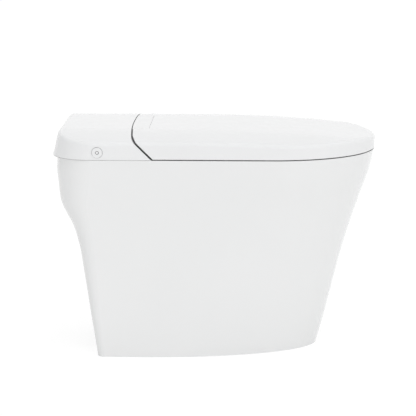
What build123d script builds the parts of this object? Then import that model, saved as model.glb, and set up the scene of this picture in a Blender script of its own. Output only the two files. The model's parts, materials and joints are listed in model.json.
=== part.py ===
from build123d import *
import math
import os

os.makedirs("parts", exist_ok=True)

# Frame: origin on the floor under the middle of the whole, front towards -Y, up +Z, millimetres

# Ceramic body
RIM_TOP = 432.0
RIM_HALF_WIDTH = 191.0
FOOT_HALF_WIDTH = 145.0
RIM_NOSE_CENTRE = -120.0
FOOT_NOSE_CENTRE = 150.0
CERAMIC_WALL = 12.0
RIM_THICKNESS = 20.0
# Each station, at even steps of height: front tip, back, rear corner radius
BODY_STATIONS = (
    (-219.0, 248.0, 15.0),
    (-232.5, 254.6, 17.0),
    (-244.5, 261.6, 20.0),
    (-256.0, 268.4, 24.0),
    (-267.5, 275.4, 28.0),
    (-280.7, 282.8, 33.0),
    (-295.5, 297.4, 42.0),
    (-311.5, 322.0, 58.0),
    (-328.3, 328.7, 72.0),
    (-339.0, 333.0, 84.0),
)
BODY_SECTIONS = 18

# Bowl: height, centre, half width, half length
BOWL_STATIONS = (
    (RIM_TOP, -100.0, 128.0, 188.0),
    (400.0, -98.0, 124.0, 182.0),
    (330.0, -88.0, 108.0, 158.0),
    (260.0, -62.0, 80.0, 116.0),
    (205.0, -36.0, 55.0, 74.0),
    (150.0, -24.0, 40.0, 50.0),
)
BOWL_WALL = 10.0
RIM_EDGE_RADIUS = 6.0

# Trapway centreline in the middle plane: Y, Z of its turning points, and the bend at each
TRAP_ROUTE = ((-20.0, 178.0), (56.0, 142.0), (112.0, 305.0), (170.0, 130.0), (47.0, 55.0))
TRAP_BENDS = (36.0, 36.0, 36.0, 40.0)
OUTLET_Y = TRAP_ROUTE[-1][0]
TRAP_END_Z = 10.0
TRAP_BORE_RADIUS = 25.0
TRAP_WALL = 7.0

# Rear well for the works, and the notch that joins it to the bowl
WELL_FLOOR = 330.0
RIM_LAND = 31.0
WELL_HALF_WIDTH = RIM_HALF_WIDTH - RIM_LAND
WELL_FRONT = 128.0
WELL_BACK = 307.0
WELL_CORNER = 45.0
NOTCH_HALF_WIDTH = 44.0
NOTCH_FLOOR = 388.0
NOTCH_FRONT = 70.0
REAR_ACCESS_HALF_WIDTH = 70.0
REAR_ACCESS_TOP = 235.0
REAR_ACCESS_CORNER = 30.0

# Upper casing: the lid and the rear housing share one smooth form
CASING_TOP = 483.2
CASING_FOOT_TIP = -339.0
CASING_FOOT_BACK = 338.5
CASING_FOOT_CORNER = 84.0
CASING_SPAN = 60.0
CASING_SIDE_LEAN = 3.0
CASING_BACK_LEAN = 14.0
CASING_TIP_LEAN = 3.0
CROWN_FLAT = 92.0
CROWN_RADIUS = 350.0
NOSE_FALL_START = 30.0
NOSE_FALL_RADIUS = 3100.0
CASING_EDGE_RADIUS = 8.0
CASING_WALL = 3.0
COVER_TOP_WALL = 2.6

# Chevron seam between lid and housing
SEAM_FOOT_Y = 125.5
SEAM_BOW_MIDDLE = 175.6
SEAM_BOW_SIDE = 166.8
SEAM_SLOPE_GAP = 5.6
SEAM_TOP_GAP = 3.2
LID_RIM_GAP = 2.2

# Holes in the ceramic for the works
INLET_X = 105.0
INLET_Y = 212.0
INLET_HOLE_RADIUS = 13.0
HOSE_RADIUS = 8.0
HOSE_WALL = 2.0
RIM_HOSE_END = (52.0, 352.0)
JET_HOSE_END = (107.0, 352.0)
FRONT_BOLT = (RIM_HALF_WIDTH - 16.0, 160.0)
REAR_BOLT = (RIM_HALF_WIDTH - 41.0, 304.0)
BOLT_RADIUS = 3.0
BOLT_GAP = 0.3
BOLT_DEPTH = 25.0
BOLT_HEAD_RADIUS = 6.0
BOLT_HEAD_HEIGHT = 4.0

# Floor side
SEAT_GAP = 0.3
ADAPTER_RADIUS = 58.0
ADAPTER_THICKNESS = 6.0
EAR_REACH = 95.0
EAR_WIDTH = 38.0
CLOSET_SPACING = 152.4
CLOSET_SLOT = 24.0
CLOSET_BOLT_RADIUS = 4.5
COLLAR_RADIUS = 36.0
COLLAR_WALL = 4.0
COLLAR_HEIGHT = 24.0
BRACKET_FACE = FOOT_HALF_WIDTH - CERAMIC_WALL - SEAT_GAP
BRACKET_Y = 150.0
BRACKET_LENGTH = 50.0
BRACKET_HEIGHT = 40.0
BRACKET_FOOT = 40.0
BRACKET_SHEET = 4.0
BRACKET_HOLE_X = 108.0
BRACKET_HOLE_RADIUS = 4.0

# Lid insert, inner panel and display board
WINDOW_HALF_WIDTH = 92.0
WINDOW_FRONT = 138.8
WINDOW_GROOVE = 0.5
WINDOW_LIP = 1.2
WINDOW_THICKNESS = 2.2
PANEL_SPACE = 2.0
PANEL_THICKNESS = 2.0
PANEL_GAP = 0.2
BOARD_MARGIN = 6.0
BOARD_DEPTH = 18.0
BOARD_THICKNESS = 1.2

# Seat
SEAT_HALF_WIDTH = 184.0
SEAT_TIP = -331.0
SEAT_REAR = 110.0
SEAT_CORNER = 45.0
SEAT_HOLE_Y = -105.0
SEAT_HOLE_HALF_WIDTH = 108.0
SEAT_HOLE_HALF_LENGTH = 160.0
SEAT_FOOT = 437.5
SEAT_BASE_THICKNESS = 3.0
SEAT_TOP = 454.0
SEAT_WALL = 3.0
SEAT_OUTER_ROUND = 8.0
SEAT_INNER_ROUND = 6.5
HEATER_THICKNESS = 0.6
HEATER_MARGIN = 16.0
BUMPER_RADIUS = 7.0
SEAT_BUMPERS = ((-158.0, -10.0), (158.0, -10.0), (-90.0, -268.0), (90.0, -268.0))
LID_BUMPERS = ((-150.0, -40.0), (150.0, -40.0), (-85.0, -262.0), (85.0, -262.0))

# Hinges: lid and seat turn on one line
HINGE_Y = 203.8
HINGE_Z = 471.0
SHAFT_RADIUS = 3.5
SHAFT_FIT = 0.05
HUB_RADIUS = 6.5
BLOCK_RADIUS = 7.5
ARM_WIDTH = 10.0
SEAT_ARM_X = 55.0
LID_ARM_X = 79.0
ARM_SLOT_GAP = 2.5
ARM_DEPTH = 36.0
ARM_THICKNESS = 5.0
LEG_FRONT = 0.5
LEG_THICKNESS = 6.0
POST_FRONT = 116.0
POST_THICKNESS = 6.0
TONGUE_FRONT = 84.0
PAD_FRONT = 88.0
SLOT_TOP = 477.5
ARM_NOTCH_TOP = 441.0
INNER_BLOCK = (42.0, 48.0)
MIDDLE_BLOCK = (62.0, 72.0)
OUTER_BLOCK = (86.0, 94.0)
SHAFT_SPLIT_GAP = 0.4
ACTUATOR_RADIUS = 6.0
ACTUATOR_LENGTH = 22.0
ACTUATOR_SOCKET = 9.0
SHAFT_END_GAP = 1.0

# Housing base and what fixes it
BASE_THICKNESS = 3.0
BASE_TOP = RIM_TOP + BASE_THICKNESS
BASE_BACK = 300.0
NOZZLE_WINDOW_HALF = 40.0
SERVICE_WINDOW = ((48.0, 224.0), (150.0, 300.0))
ARM_SLOT_BACK = 214.0
FRONT_BOSS = (RIM_HALF_WIDTH - 21.0, 185.0)
REAR_BOSS = (110.0, 319.0)
BOSS_RADIUS = 4.5
SCREW_RADIUS = 1.5
SCREW_FIT = 0.05
SCREW_LENGTH = 16.0
SCREW_HEAD_RADIUS = 3.2
SCREW_HEAD_HEIGHT = 1.6
GLAND_X = 90.0
GLAND_Z = 452.0
GLAND_RADIUS = 9.0
GLAND_NECK = 7.0
GLAND_BORE = 3.5
GLAND_REACH = 4.0
GLAND_NUT = 6.0
GLAND_LEAN_GAP = 2.4

# Side dial
DIAL_Y = 239.1
DIAL_Z = 448.2
DIAL_RADIUS = 10.8
DIAL_HOLE_RADIUS = 11.5
DIAL_FACE = -(RIM_HALF_WIDTH + 2.3)
DIAL_SHOULDER = DIAL_FACE + 6.3
DIAL_END = DIAL_FACE + 17.3
DIAL_JOURNAL = 8.0
BEZEL_RADIUS = 15.5
BEZEL_FOOT = 5.5
BASE_SIDE = -(RIM_HALF_WIDTH - 4.0)
BEZEL_FACE = -(RIM_HALF_WIDTH - 3.1)
BEZEL_BACK = -(RIM_HALF_WIDTH - 11.0)
BUTTON_RADIUS = 2.7
BUTTON_RING = 3.7
BUTTON_RING_DEPTH = 0.9
BUTTON_END = DIAL_FACE + 21.3
ENCODER_FACE = DIAL_END + 0.5
ENCODER_BACK = ENCODER_FACE + 10.5
ENCODER_HALF = 8.5
ENCODER_TOP = DIAL_Z + 9.0

# Nozzle, in a frame at the middle of its tip: X across, Y up, Z ahead along its travel
NOZZLE_TIP = (0.0, 100.0, 405.0)
NOZZLE_TILT = 20.0
NOZZLE_RADIUS = 8.0
NOZZLE_CAP = 12.0
NOZZLE_LENGTH = 190.0
SPRAY_HOLE = 0.8
CRADLE_HALF = 12.0
CRADLE_SIDE_GAP = 0.5
CRADLE_FLOOR = -11.0
CRADLE_FLOOR_TOP = -8.4
CRADLE_TOP = 2.0
CRADLE_REAR = -185.0
CRADLE_FRONT = -30.0
CRADLE_EAR = ((234.0, 242.0), (BASE_TOP, 452.0))
CRADLE_EAR_X = 46.0
GEAR_MODULE = 1.0
PINION_TEETH = 14
RACK_WIDTH = 6.0
RACK_ROOT = 8.9
RACK_PITCH_LINE = 10.0
RACK_TIP = 10.8
RACK_FRONT = -70.0
TOOTH_SLACK = 0.3
PINION_Z = -95.0
PINION_ROOT_RADIUS = 5.9
# Tooth flank of the pinion: radius and half thickness
PINION_FLANK = ((5.4, 0.6), (6.58, 0.69), (7.0, 0.63), (7.4, 0.48), (7.8, 0.27))
PINION_WIDTH = 8.0
PINION_SHAFT = 2.0
PINION_SHAFT_END = 26.0
NOZZLE_MOTOR = (18.0, 46.0)
NOZZLE_MOTOR_RADIUS = 10.0
MOTOR_FOOT_X = 41.0

# Dryer
SCROLL_X = -50.0
SCROLL_Y = 262.0
SCROLL_RADIUS = 34.0
SCROLL_FOOT = 406.0
SCROLL_WALL = 2.0
DUCT_LEFT = -38.0
DUCT_RIGHT = -16.0
DUCT_FOOT = 408.0
DUCT_TOP = 430.0
DUCT_WALL = 1.5
DUCT_FRONT = 104.0
DUCT_BACK = 222.0
FAN_RADIUS = 26.0
FAN_HUB = 7.0
FAN_DISC = 2.0
FAN_BLADE_START = 14.0
FAN_BLADE_THICKNESS = 1.2
FAN_FOOT = 410.0
FAN_TOP = 426.0
FAN_BLADES = 12
FAN_SHAFT = 2.0
FAN_SHAFT_LOW = 396.0
INTAKE_HOLES = 8
INTAKE_RADIUS = 3.0
DRYER_MOTOR_RADIUS = 11.0
DRYER_MOTOR_LOW = 386.0
FLAP_AXIS_Y = 101.5
FLAP_AXIS_Z = 428.0
FLAP_BARREL = 2.0
FLAP_PIN = 1.0
FLAP_FOOT = 409.0
FLAP_THICKNESS = 1.6
FLAP_SIDE_GAP = 0.5
EAR_THICKNESS = 2.0

# Deodoriser
ODOUR_X = 28.0
ODOUR_Z = 400.0
ODOUR_RADIUS = 13.0
ODOUR_BORE = 11.8
ODOUR_FRONT = 150.0
ODOUR_BACK = 178.0
ODOUR_MOTOR_RADIUS = 5.0
ODOUR_MOTOR = (166.0, 176.0)
ODOUR_BLADES = 7
ODOUR_FAN = (154.0, 162.0)
ODOUR_HUB = 4.0
ODOUR_SHAFT = 1.0
ODOUR_BLADE_THICKNESS = 1.4
ODOUR_SPOKES = 3
ODOUR_SPOKE_WIDTH = 1.6
ODOUR_HANGER_HALF = 4.0
CARTRIDGE = ((16.0, 106.0, NOTCH_FLOOR), (40.0, 150.0, 412.0))
CARTRIDGE_WALL = 2.0
FILTER_LENGTH = 16.0
CARTRIDGE_SLOTS = 5

# Water works on the well floor
THREAD_RADIUS = 10.478
THREAD_END = 296.0
SHANK_RADIUS = 11.0
LOCKNUT_FLATS = 30.0
LOCKNUT_HEIGHT = 8.0
INLET_RADIUS = 15.0
INLET_FLANGE = 20.0
INLET_TOP = 372.0
FILTER_RADIUS = 11.0
FILTER_HEIGHT = 20.0
PUMP_X = 112.0
PUMP_Y = 165.0
PUMP_RADIUS = 24.0
PUMP_TOP = 395.0
FLUSH_VALVE = ((36.0, 196.0, WELL_FLOOR), (76.0, 236.0, 366.0))
COIL_RADIUS = 12.0
COIL_HEIGHT = 30.0
WASH_VALVE = ((88.0, 246.0, WELL_FLOOR), (118.0, 270.0, 354.0))
HEATER = ((30.0, 250.0, WELL_FLOOR), (78.0, 300.0, 400.0))
LINK_RADIUS = 5.0
LINK_BORE = 3.5
LINK_Z = 343.0
LINK_PUMP_X = 107.0

# Electrics
POWER_SUPPLY = ((-145.0, 146.0, WELL_FLOOR), (-92.0, 206.0, 375.0))
CIRCUIT = ((-142.0, 232.0), (-52.0, 300.0))
CIRCUIT_LIFT = 3.0
CIRCUIT_THICKNESS = 1.6
STANDOFF_RADIUS = 3.0
STANDOFF_MARGIN = 6.0
# Parts on the board, measured from its front left corner: X, Y, width, depth, height
BOARD_BLOCKS = (
    (8.0, 10.0, 16.0, 16.0, 2.0),
    (34.0, 12.0, 22.0, 12.0, 3.0),
    (62.0, 10.0, 12.0, 20.0, 8.0),
    (10.0, 40.0, 26.0, 14.0, 10.0),
    (44.0, 36.0, 10.0, 10.0, 1.6),
)
# X, Y, radius, height
BOARD_CANS = ((70.0, 52.0, 5.0, 14.0), (58.0, 55.0, 4.0, 11.0), (78.0, 38.0, 3.0, 8.0))


def plan_outline(half_width, nose_centre, tip, back, corner):
    """Plan of the body or casing: half ellipse in front, straight sides, round rear corners."""
    with BuildSketch() as plan:
        with BuildLine():
            EllipticalCenterArc((0, nose_centre), half_width, nose_centre - tip, 180, arc_size=180)
            Line((half_width, nose_centre), (half_width, back - corner))
            CenterArc((half_width - corner, back - corner), corner, 0, 90)
            Line((half_width - corner, back), (corner - half_width, back))
            CenterArc((corner - half_width, back - corner), corner, 90, 90)
            Line((-half_width, back - corner), (-half_width, nose_centre))
        make_face()
    return plan.sketch


def station_at(height):
    """Front tip, back and corner radius at a height, on monotone curves through the stations."""
    pitch = RIM_TOP / (len(BODY_STATIONS) - 1)
    lower = min(int(height / pitch), len(BODY_STATIONS) - 2)
    share = height / pitch - lower
    found = []
    for values in zip(*BODY_STATIONS):
        rises = [after - before for before, after in zip(values, values[1:])]
        slopes = [rises[0]]
        for before, after in zip(rises, rises[1:]):
            slopes.append(2 * before * after / (before + after) if before * after > 0 else 0)
        slopes.append(rises[-1])
        rise, start, end = rises[lower], slopes[lower], slopes[lower + 1]
        bend = (start + end - 2 * rise) * share**3 + (3 * rise - 2 * start - end) * share**2
        found.append(values[lower] + start * share + bend)
    return found


def body_loft(inset):
    """Outer form of the ceramic body, drawn in by inset."""
    foot_tip, rim_tip = BODY_STATIONS[0][0], BODY_STATIONS[-1][0]
    with BuildPart() as form:
        for step in range(BODY_SECTIONS + 1):
            height = RIM_TOP * step / BODY_SECTIONS
            tip, back, corner = station_at(height)
            flare = (foot_tip - tip) / (foot_tip - rim_tip)
            half_width = FOOT_HALF_WIDTH + flare * (RIM_HALF_WIDTH - FOOT_HALF_WIDTH)
            nose_centre = FOOT_NOSE_CENTRE + flare * (RIM_NOSE_CENTRE - FOOT_NOSE_CENTRE)
            radius = max(corner - inset, 4)
            plan = plan_outline(half_width - inset, nose_centre, tip + inset, back - inset, radius)
            with BuildSketch(Plane.XY.offset(height)):
                add(plan)
        loft()
    return form.part


def bowl_form(outset):
    """Inside of the bowl, or its outer shell when outset by the wall."""
    with BuildPart() as form:
        for height, centre, half_width, half_length in BOWL_STATIONS:
            drop = outset if height == BOWL_STATIONS[-1][0] else 0
            with BuildSketch(Plane.XY.offset(height - drop)):
                with Locations((0, centre)):
                    Ellipse(half_width + outset, half_length + outset)
        loft()
    return form.part


def trap_form(radius):
    """Trapway as a solid rod of a radius, in straight and turned stretches."""
    with BuildLine(Plane.YZ) as route:
        FilletPolyline(*TRAP_ROUTE, (OUTLET_Y, TRAP_END_Z), radius=TRAP_BENDS)
    return rod_along(route.edges(), radius)


def rod_along(stretches, radius):
    """Round rod along straight and arc-shaped edges."""
    with BuildPart() as rod:
        for stretch in stretches:
            ahead = stretch % 0
            with BuildSketch(Plane(stretch @ 0, z_dir=ahead)):
                Circle(radius)
            if stretch.geom_type == GeomType.LINE:
                extrude(amount=stretch.length)
            else:
                pivot = Axis(stretch.arc_center, ahead.cross(stretch % 1))
                revolve(axis=pivot, revolution_arc=math.degrees(stretch.length / stretch.radius))
    return rod.part


def casing_form(inset, drop, edge_radius):
    """Lid and housing together as one solid, with its walls set in and its top set down."""
    with BuildPart() as form:
        with BuildSketch(Plane.XY.offset(RIM_TOP)):
            add(
                plan_outline(
                    RIM_HALF_WIDTH - inset,
                    RIM_NOSE_CENTRE,
                    CASING_FOOT_TIP + inset,
                    CASING_FOOT_BACK - inset,
                    CASING_FOOT_CORNER - inset,
                )
            )
        with BuildSketch(Plane.XY.offset(RIM_TOP + CASING_SPAN)):
            add(
                plan_outline(
                    RIM_HALF_WIDTH + CASING_SIDE_LEAN - inset,
                    RIM_NOSE_CENTRE,
                    CASING_FOOT_TIP - CASING_TIP_LEAN + inset,
                    CASING_FOOT_BACK - CASING_BACK_LEAN - inset,
                    CASING_FOOT_CORNER - inset,
                )
            )
        loft(ruled=True)
        add(crown_form(CASING_TOP - drop), mode=Mode.INTERSECT)
        if edge_radius:
            fillet(rim_edges(form), edge_radius)
    return form.part


def crown_form(top):
    """Everything under the crowned top surface, which falls away towards the nose."""
    reach = 400.0
    half = 230.0
    depth = 90.0
    fall = crown_fall(half)
    bend = math.degrees(math.asin((half - CROWN_FLAT) / CROWN_RADIUS))
    turn = math.degrees((reach + NOSE_FALL_START) / NOSE_FALL_RADIUS)
    with BuildPart() as form:
        with BuildLine(Plane.YZ):
            Line((reach, top), (NOSE_FALL_START, top))
            JernArc((NOSE_FALL_START, top), (-1, 0), NOSE_FALL_RADIUS, turn)
        with BuildSketch(Plane((0, reach, top), x_dir=(1, 0, 0), z_dir=(0, -1, 0))):
            with BuildLine():
                Line((-CROWN_FLAT, 0), (CROWN_FLAT, 0))
                JernArc((CROWN_FLAT, 0), (1, 0), CROWN_RADIUS, -bend)
                JernArc((-CROWN_FLAT, 0), (-1, 0), CROWN_RADIUS, bend)
                Polyline((half, -fall), (half, -depth), (-half, -depth), (-half, -fall))
            make_face()
        sweep()
    return form.part


def crown_fall(x):
    """How far the top lies below its flat middle, at a distance to the side."""
    beyond = max(abs(x) - CROWN_FLAT, 0)
    return CROWN_RADIUS - math.sqrt(CROWN_RADIUS**2 - beyond**2)


def rim_edges(form):
    """Edges where the crowned top meets the side walls."""
    walls = [f for f in form.faces() if f.bounding_box().min.Z < RIM_TOP + 1 < f.bounding_box().max.Z]
    return [e for wall in walls for e in wall.edges() if e.bounding_box().min.Z > RIM_TOP + 15]


def front_of_seam(slope_shift, top_shift):
    """Everything in front of the chevron seam, moved back by the two shifts."""
    reach = 420.0
    low = RIM_TOP - 32
    high = RIM_TOP + 78
    foot = SEAM_FOOT_Y + slope_shift
    with BuildPart() as form:
        with BuildSketch(Plane.YZ):
            Polygon(
                (-reach, low),
                (foot + low - RIM_TOP, low),
                (foot + high - RIM_TOP, high),
                (-reach, high),
                align=None,
            )
        extrude(amount=reach, both=True)
        with BuildSketch(Plane.XY.offset(low - 1)):
            with BuildLine():
                ThreePointArc(
                    (-RIM_HALF_WIDTH, SEAM_BOW_SIDE + top_shift),
                    (0, SEAM_BOW_MIDDLE + top_shift),
                    (RIM_HALF_WIDTH, SEAM_BOW_SIDE + top_shift),
                )
                Polyline(
                    (RIM_HALF_WIDTH, SEAM_BOW_SIDE + top_shift),
                    (reach, SEAM_BOW_SIDE + top_shift),
                    (reach, -reach),
                    (-reach, -reach),
                    (-reach, SEAM_BOW_SIDE + top_shift),
                    (-RIM_HALF_WIDTH, SEAM_BOW_SIDE + top_shift),
                )
            make_face()
        extrude(amount=high - low + 2, mode=Mode.INTERSECT)
    return form.part


def block(low, high):
    """Box between two corners."""
    with BuildPart() as form:
        with Locations(low):
            size = [after - before for before, after in zip(low, high)]
            Box(*size, align=(Align.MIN, Align.MIN, Align.MIN))
    return form.part


def rod(start, end, radius):
    """Round rod between two points."""
    route = Vector(*end) - Vector(*start)
    with BuildPart() as form:
        with BuildSketch(Plane(start, z_dir=route)):
            Circle(radius)
        extrude(amount=route.length)
    return form.part


def tube(start, end, radius, bore):
    """Round tube between two points."""
    route = Vector(*end) - Vector(*start)
    with BuildPart() as form:
        with BuildSketch(Plane(start, z_dir=route)):
            Circle(radius)
            Circle(bore, mode=Mode.SUBTRACT)
        extrude(amount=route.length)
    return form.part


def both_sides(low_x, high_x):
    """A span of X and its mirror image."""
    return ((low_x, high_x), (-high_x, -low_x))


def mirrored(*points):
    """Plan points and their mirror images."""
    return [(side * x, y) for x, y in points for side in (-1, 1)]


def arm_spans(clearance):
    """X spans of the four hinge arms, widened by a clearance."""
    half = ARM_WIDTH / 2 + clearance
    spans = []
    for middle in (SEAT_ARM_X, LID_ARM_X):
        spans.extend(both_sides(middle - half, middle + half))
    return spans


def save(name, piece):
    """Label a finished piece and write it as a node of its own."""
    piece.part.label = name
    export_step(piece.part, f"parts/{name}.step")


BASE_BOLTS = mirrored(FRONT_BOLT, REAR_BOLT)
COVER_BOSSES = mirrored(FRONT_BOSS, REAR_BOSS)

# Hollow of the skirt, around the bowl, trapway and well
with BuildPart() as skirt_cavity:
    add(body_loft(CERAMIC_WALL))
    with Locations((0, 0, RIM_TOP - RIM_THICKNESS)):
        Box(500, 800, 200, align=(Align.CENTER, Align.CENTER, Align.MIN), mode=Mode.SUBTRACT)
    add(bowl_form(BOWL_WALL), mode=Mode.SUBTRACT)
    add(trap_form(TRAP_BORE_RADIUS + TRAP_WALL), mode=Mode.SUBTRACT)
    with Locations((0, WELL_FRONT - CERAMIC_WALL, WELL_FLOOR - CERAMIC_WALL)):
        Box(500, 400, RIM_TOP, align=(Align.CENTER, Align.MIN, Align.MIN), mode=Mode.SUBTRACT)

with BuildPart() as ceramic_body:
    add(body_loft(0))
    add(skirt_cavity.part, mode=Mode.SUBTRACT)
    add(bowl_form(0), mode=Mode.SUBTRACT)
    add(trap_form(TRAP_BORE_RADIUS), mode=Mode.SUBTRACT)
    with BuildSketch(Plane.XY.offset(WELL_FLOOR)):
        with Locations((0, (WELL_FRONT + WELL_BACK) / 2)):
            RectangleRounded(2 * WELL_HALF_WIDTH, WELL_BACK - WELL_FRONT, WELL_CORNER)
    extrude(amount=RIM_TOP - WELL_FLOOR, mode=Mode.SUBTRACT)
    # Notch for the nozzle and ducts, between well and bowl
    notch_low = (-NOTCH_HALF_WIDTH, NOTCH_FRONT, NOTCH_FLOOR)
    add(block(notch_low, (NOTCH_HALF_WIDTH, WELL_FRONT + 5, RIM_TOP + 5)), mode=Mode.SUBTRACT)
    # Open lower back for the supply hose
    access_low = (-REAR_ACCESS_HALF_WIDTH, WELL_BACK - CERAMIC_WALL - 80, -5)
    access_high = (REAR_ACCESS_HALF_WIDTH, WELL_BACK + 40, REAR_ACCESS_TOP)
    add(block(access_low, access_high), mode=Mode.SUBTRACT)
    # Holes for the inlet, the hoses and the base bolts
    inlet_low = (INLET_X, INLET_Y, WELL_FLOOR - CERAMIC_WALL - 5)
    add(rod(inlet_low, (INLET_X, INLET_Y, WELL_FLOOR + 5), INLET_HOLE_RADIUS), mode=Mode.SUBTRACT)
    for x, z in (RIM_HOSE_END, JET_HOSE_END):
        hole_start = (x, WELL_FRONT - CERAMIC_WALL - 60, z)
        add(rod(hole_start, (x, WELL_FRONT + 5, z), HOSE_RADIUS - HOSE_WALL), mode=Mode.SUBTRACT)
    for x, y in BASE_BOLTS:
        bolt_low = (x, y, RIM_TOP - BOLT_DEPTH)
        add(rod(bolt_low, (x, y, RIM_TOP + 5), BOLT_RADIUS + BOLT_GAP), mode=Mode.SUBTRACT)
save("ceramic_body", ceramic_body)

# Outlet plate on the floor, and its seal round the end of the trapway
with BuildPart() as floor_adapter:
    with BuildSketch():
        with Locations((0, OUTLET_Y)):
            Circle(ADAPTER_RADIUS)
            SlotOverall(2 * EAR_REACH, EAR_WIDTH)
            Circle(TRAP_BORE_RADIUS, mode=Mode.SUBTRACT)
            with Locations((-CLOSET_SPACING / 2, 0), (CLOSET_SPACING / 2, 0)):
                SlotOverall(CLOSET_SLOT, 2 * CLOSET_BOLT_RADIUS, mode=Mode.SUBTRACT)
    extrude(amount=ADAPTER_THICKNESS)
    with BuildSketch(Plane.XY.offset(ADAPTER_THICKNESS)):
        with Locations((0, OUTLET_Y)):
            Circle(COLLAR_RADIUS + COLLAR_WALL)
            Circle(COLLAR_RADIUS, mode=Mode.SUBTRACT)
    extrude(amount=COLLAR_HEIGHT)
save("floor_adapter", floor_adapter)

with BuildPart() as outlet_seal:
    with BuildSketch(Plane.XY.offset(ADAPTER_THICKNESS)):
        with Locations((0, OUTLET_Y)):
            Circle(COLLAR_RADIUS - SEAT_GAP)
            Circle(TRAP_BORE_RADIUS + TRAP_WALL + SEAT_GAP, mode=Mode.SUBTRACT)
    extrude(amount=COLLAR_HEIGHT)
save("outlet_seal", outlet_seal)

# Angle brackets inside the skirt, with their pads
with BuildPart() as base_brackets:
    for side in (-1, 1):
        edge = side * BRACKET_FACE
        with BuildSketch(Plane.XZ.offset(-BRACKET_Y + BRACKET_LENGTH / 2)):
            with BuildLine():
                Polyline(
                    (edge, 0),
                    (edge, BRACKET_HEIGHT),
                    (edge - side * BRACKET_SHEET, BRACKET_HEIGHT),
                    (edge - side * BRACKET_SHEET, BRACKET_SHEET),
                    (edge - side * BRACKET_FOOT, BRACKET_SHEET),
                    (edge - side * BRACKET_FOOT, 0),
                    close=True,
                )
            make_face()
        extrude(amount=-BRACKET_LENGTH)
        with Locations((side * BRACKET_HOLE_X, BRACKET_Y, BRACKET_SHEET)):
            Hole(BRACKET_HOLE_RADIUS, depth=2 * BRACKET_SHEET)
save("base_brackets", base_brackets)

# Lid
LID_SLOPE_SHIFT = -SEAM_SLOPE_GAP / 2
LID_TOP_SHIFT = -SEAM_TOP_GAP / 2
SLOPE_WALL = CASING_WALL * math.sqrt(2)
LID_FOOT = RIM_TOP + LID_RIM_GAP

with BuildPart() as lid_shell:
    add(casing_form(0, 0, CASING_EDGE_RADIUS))
    add(front_of_seam(LID_SLOPE_SHIFT, LID_TOP_SHIFT), mode=Mode.INTERSECT)
with BuildPart() as lid_hollow:
    add(casing_form(CASING_WALL, CASING_WALL, CASING_EDGE_RADIUS - CASING_WALL))
    add(front_of_seam(LID_SLOPE_SHIFT - SLOPE_WALL, LID_TOP_SHIFT - CASING_WALL), mode=Mode.INTERSECT)


def window_sheet(half_width, front, lip):
    """Sheet of the lid's top skin from a front line back to the seam, past the lid by a lip."""
    with BuildPart() as sheet:
        add(block((-half_width, front, RIM_TOP), (half_width, SEAM_BOW_MIDDLE, CASING_TOP + 5)))
        add(crown_form(CASING_TOP), mode=Mode.INTERSECT)
        add(crown_form(CASING_TOP - WINDOW_THICKNESS), mode=Mode.SUBTRACT)
        add(front_of_seam(LID_SLOPE_SHIFT + lip, LID_TOP_SHIFT + lip), mode=Mode.INTERSECT)
    return sheet.part


with lid_shell:
    add(lid_hollow.part, mode=Mode.SUBTRACT)
    with Locations((0, 0, RIM_TOP)):
        Box(500, 800, 2 * LID_RIM_GAP, mode=Mode.SUBTRACT)
    pocket_half = WINDOW_HALF_WIDTH + WINDOW_GROOVE
    add(window_sheet(pocket_half, WINDOW_FRONT - WINDOW_GROOVE, WINDOW_LIP), mode=Mode.SUBTRACT)
    # Rear wall open at its foot where the arms pass
    for low_x, high_x in arm_spans(ARM_SLOT_GAP):
        notch_high = (high_x, WINDOW_FRONT + 12, ARM_NOTCH_TOP)
        add(block((low_x, POST_FRONT - 2, RIM_TOP), notch_high), mode=Mode.SUBTRACT)
save("lid_shell", lid_shell)

with BuildPart() as lid_window:
    add(window_sheet(WINDOW_HALF_WIDTH, WINDOW_FRONT, WINDOW_LIP))
save("lid_window", lid_window)

PANEL_TOP_DROP = CASING_WALL + PANEL_SPACE
PANEL_FOOT_DROP = PANEL_TOP_DROP + PANEL_THICKNESS
with BuildPart() as lid_inner_panel:
    panel_edge = CASING_EDGE_RADIUS - PANEL_TOP_DROP - PANEL_GAP
    add(casing_form(CASING_WALL + PANEL_GAP, PANEL_TOP_DROP, panel_edge))
    panel_slope = LID_SLOPE_SHIFT - SLOPE_WALL - SEAT_GAP * math.sqrt(2)
    add(front_of_seam(panel_slope, LID_TOP_SHIFT - CASING_WALL - SEAT_GAP), mode=Mode.INTERSECT)
    add(crown_form(CASING_TOP - PANEL_FOOT_DROP), mode=Mode.SUBTRACT)
save("lid_inner_panel", lid_inner_panel)

with BuildPart() as lid_bumpers:
    with BuildSketch(Plane.XY.offset(SEAT_TOP)):
        with Locations(*LID_BUMPERS):
            Circle(BUMPER_RADIUS)
    extrude(amount=CASING_TOP - SEAT_TOP)
    add(crown_form(CASING_TOP - PANEL_FOOT_DROP), mode=Mode.INTERSECT)
save("lid_bumpers", lid_bumpers)

# Display board between the lid's two skins
with BuildPart() as display_board:
    board_z = CASING_TOP - PANEL_TOP_DROP + SEAT_GAP
    half = WINDOW_HALF_WIDTH - BOARD_MARGIN
    display_front = WINDOW_FRONT + BOARD_MARGIN
    board_high = (half, display_front + BOARD_DEPTH, board_z + BOARD_THICKNESS)
    add(block((-half, display_front, board_z), board_high))
save("display_board", display_board)

# Housing cover with its hinge slots, dial hole, gland hole and screw bosses
with BuildPart() as housing_cover:
    add(casing_form(0, 0, CASING_EDGE_RADIUS))
    add(front_of_seam(-LID_SLOPE_SHIFT, -LID_TOP_SHIFT), mode=Mode.SUBTRACT)
with BuildPart() as housing_hollow:
    add(casing_form(CASING_WALL, COVER_TOP_WALL, CASING_EDGE_RADIUS - CASING_WALL))
    add(front_of_seam(-LID_SLOPE_SHIFT + SLOPE_WALL, -LID_TOP_SHIFT + CASING_WALL), mode=Mode.SUBTRACT)


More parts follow.
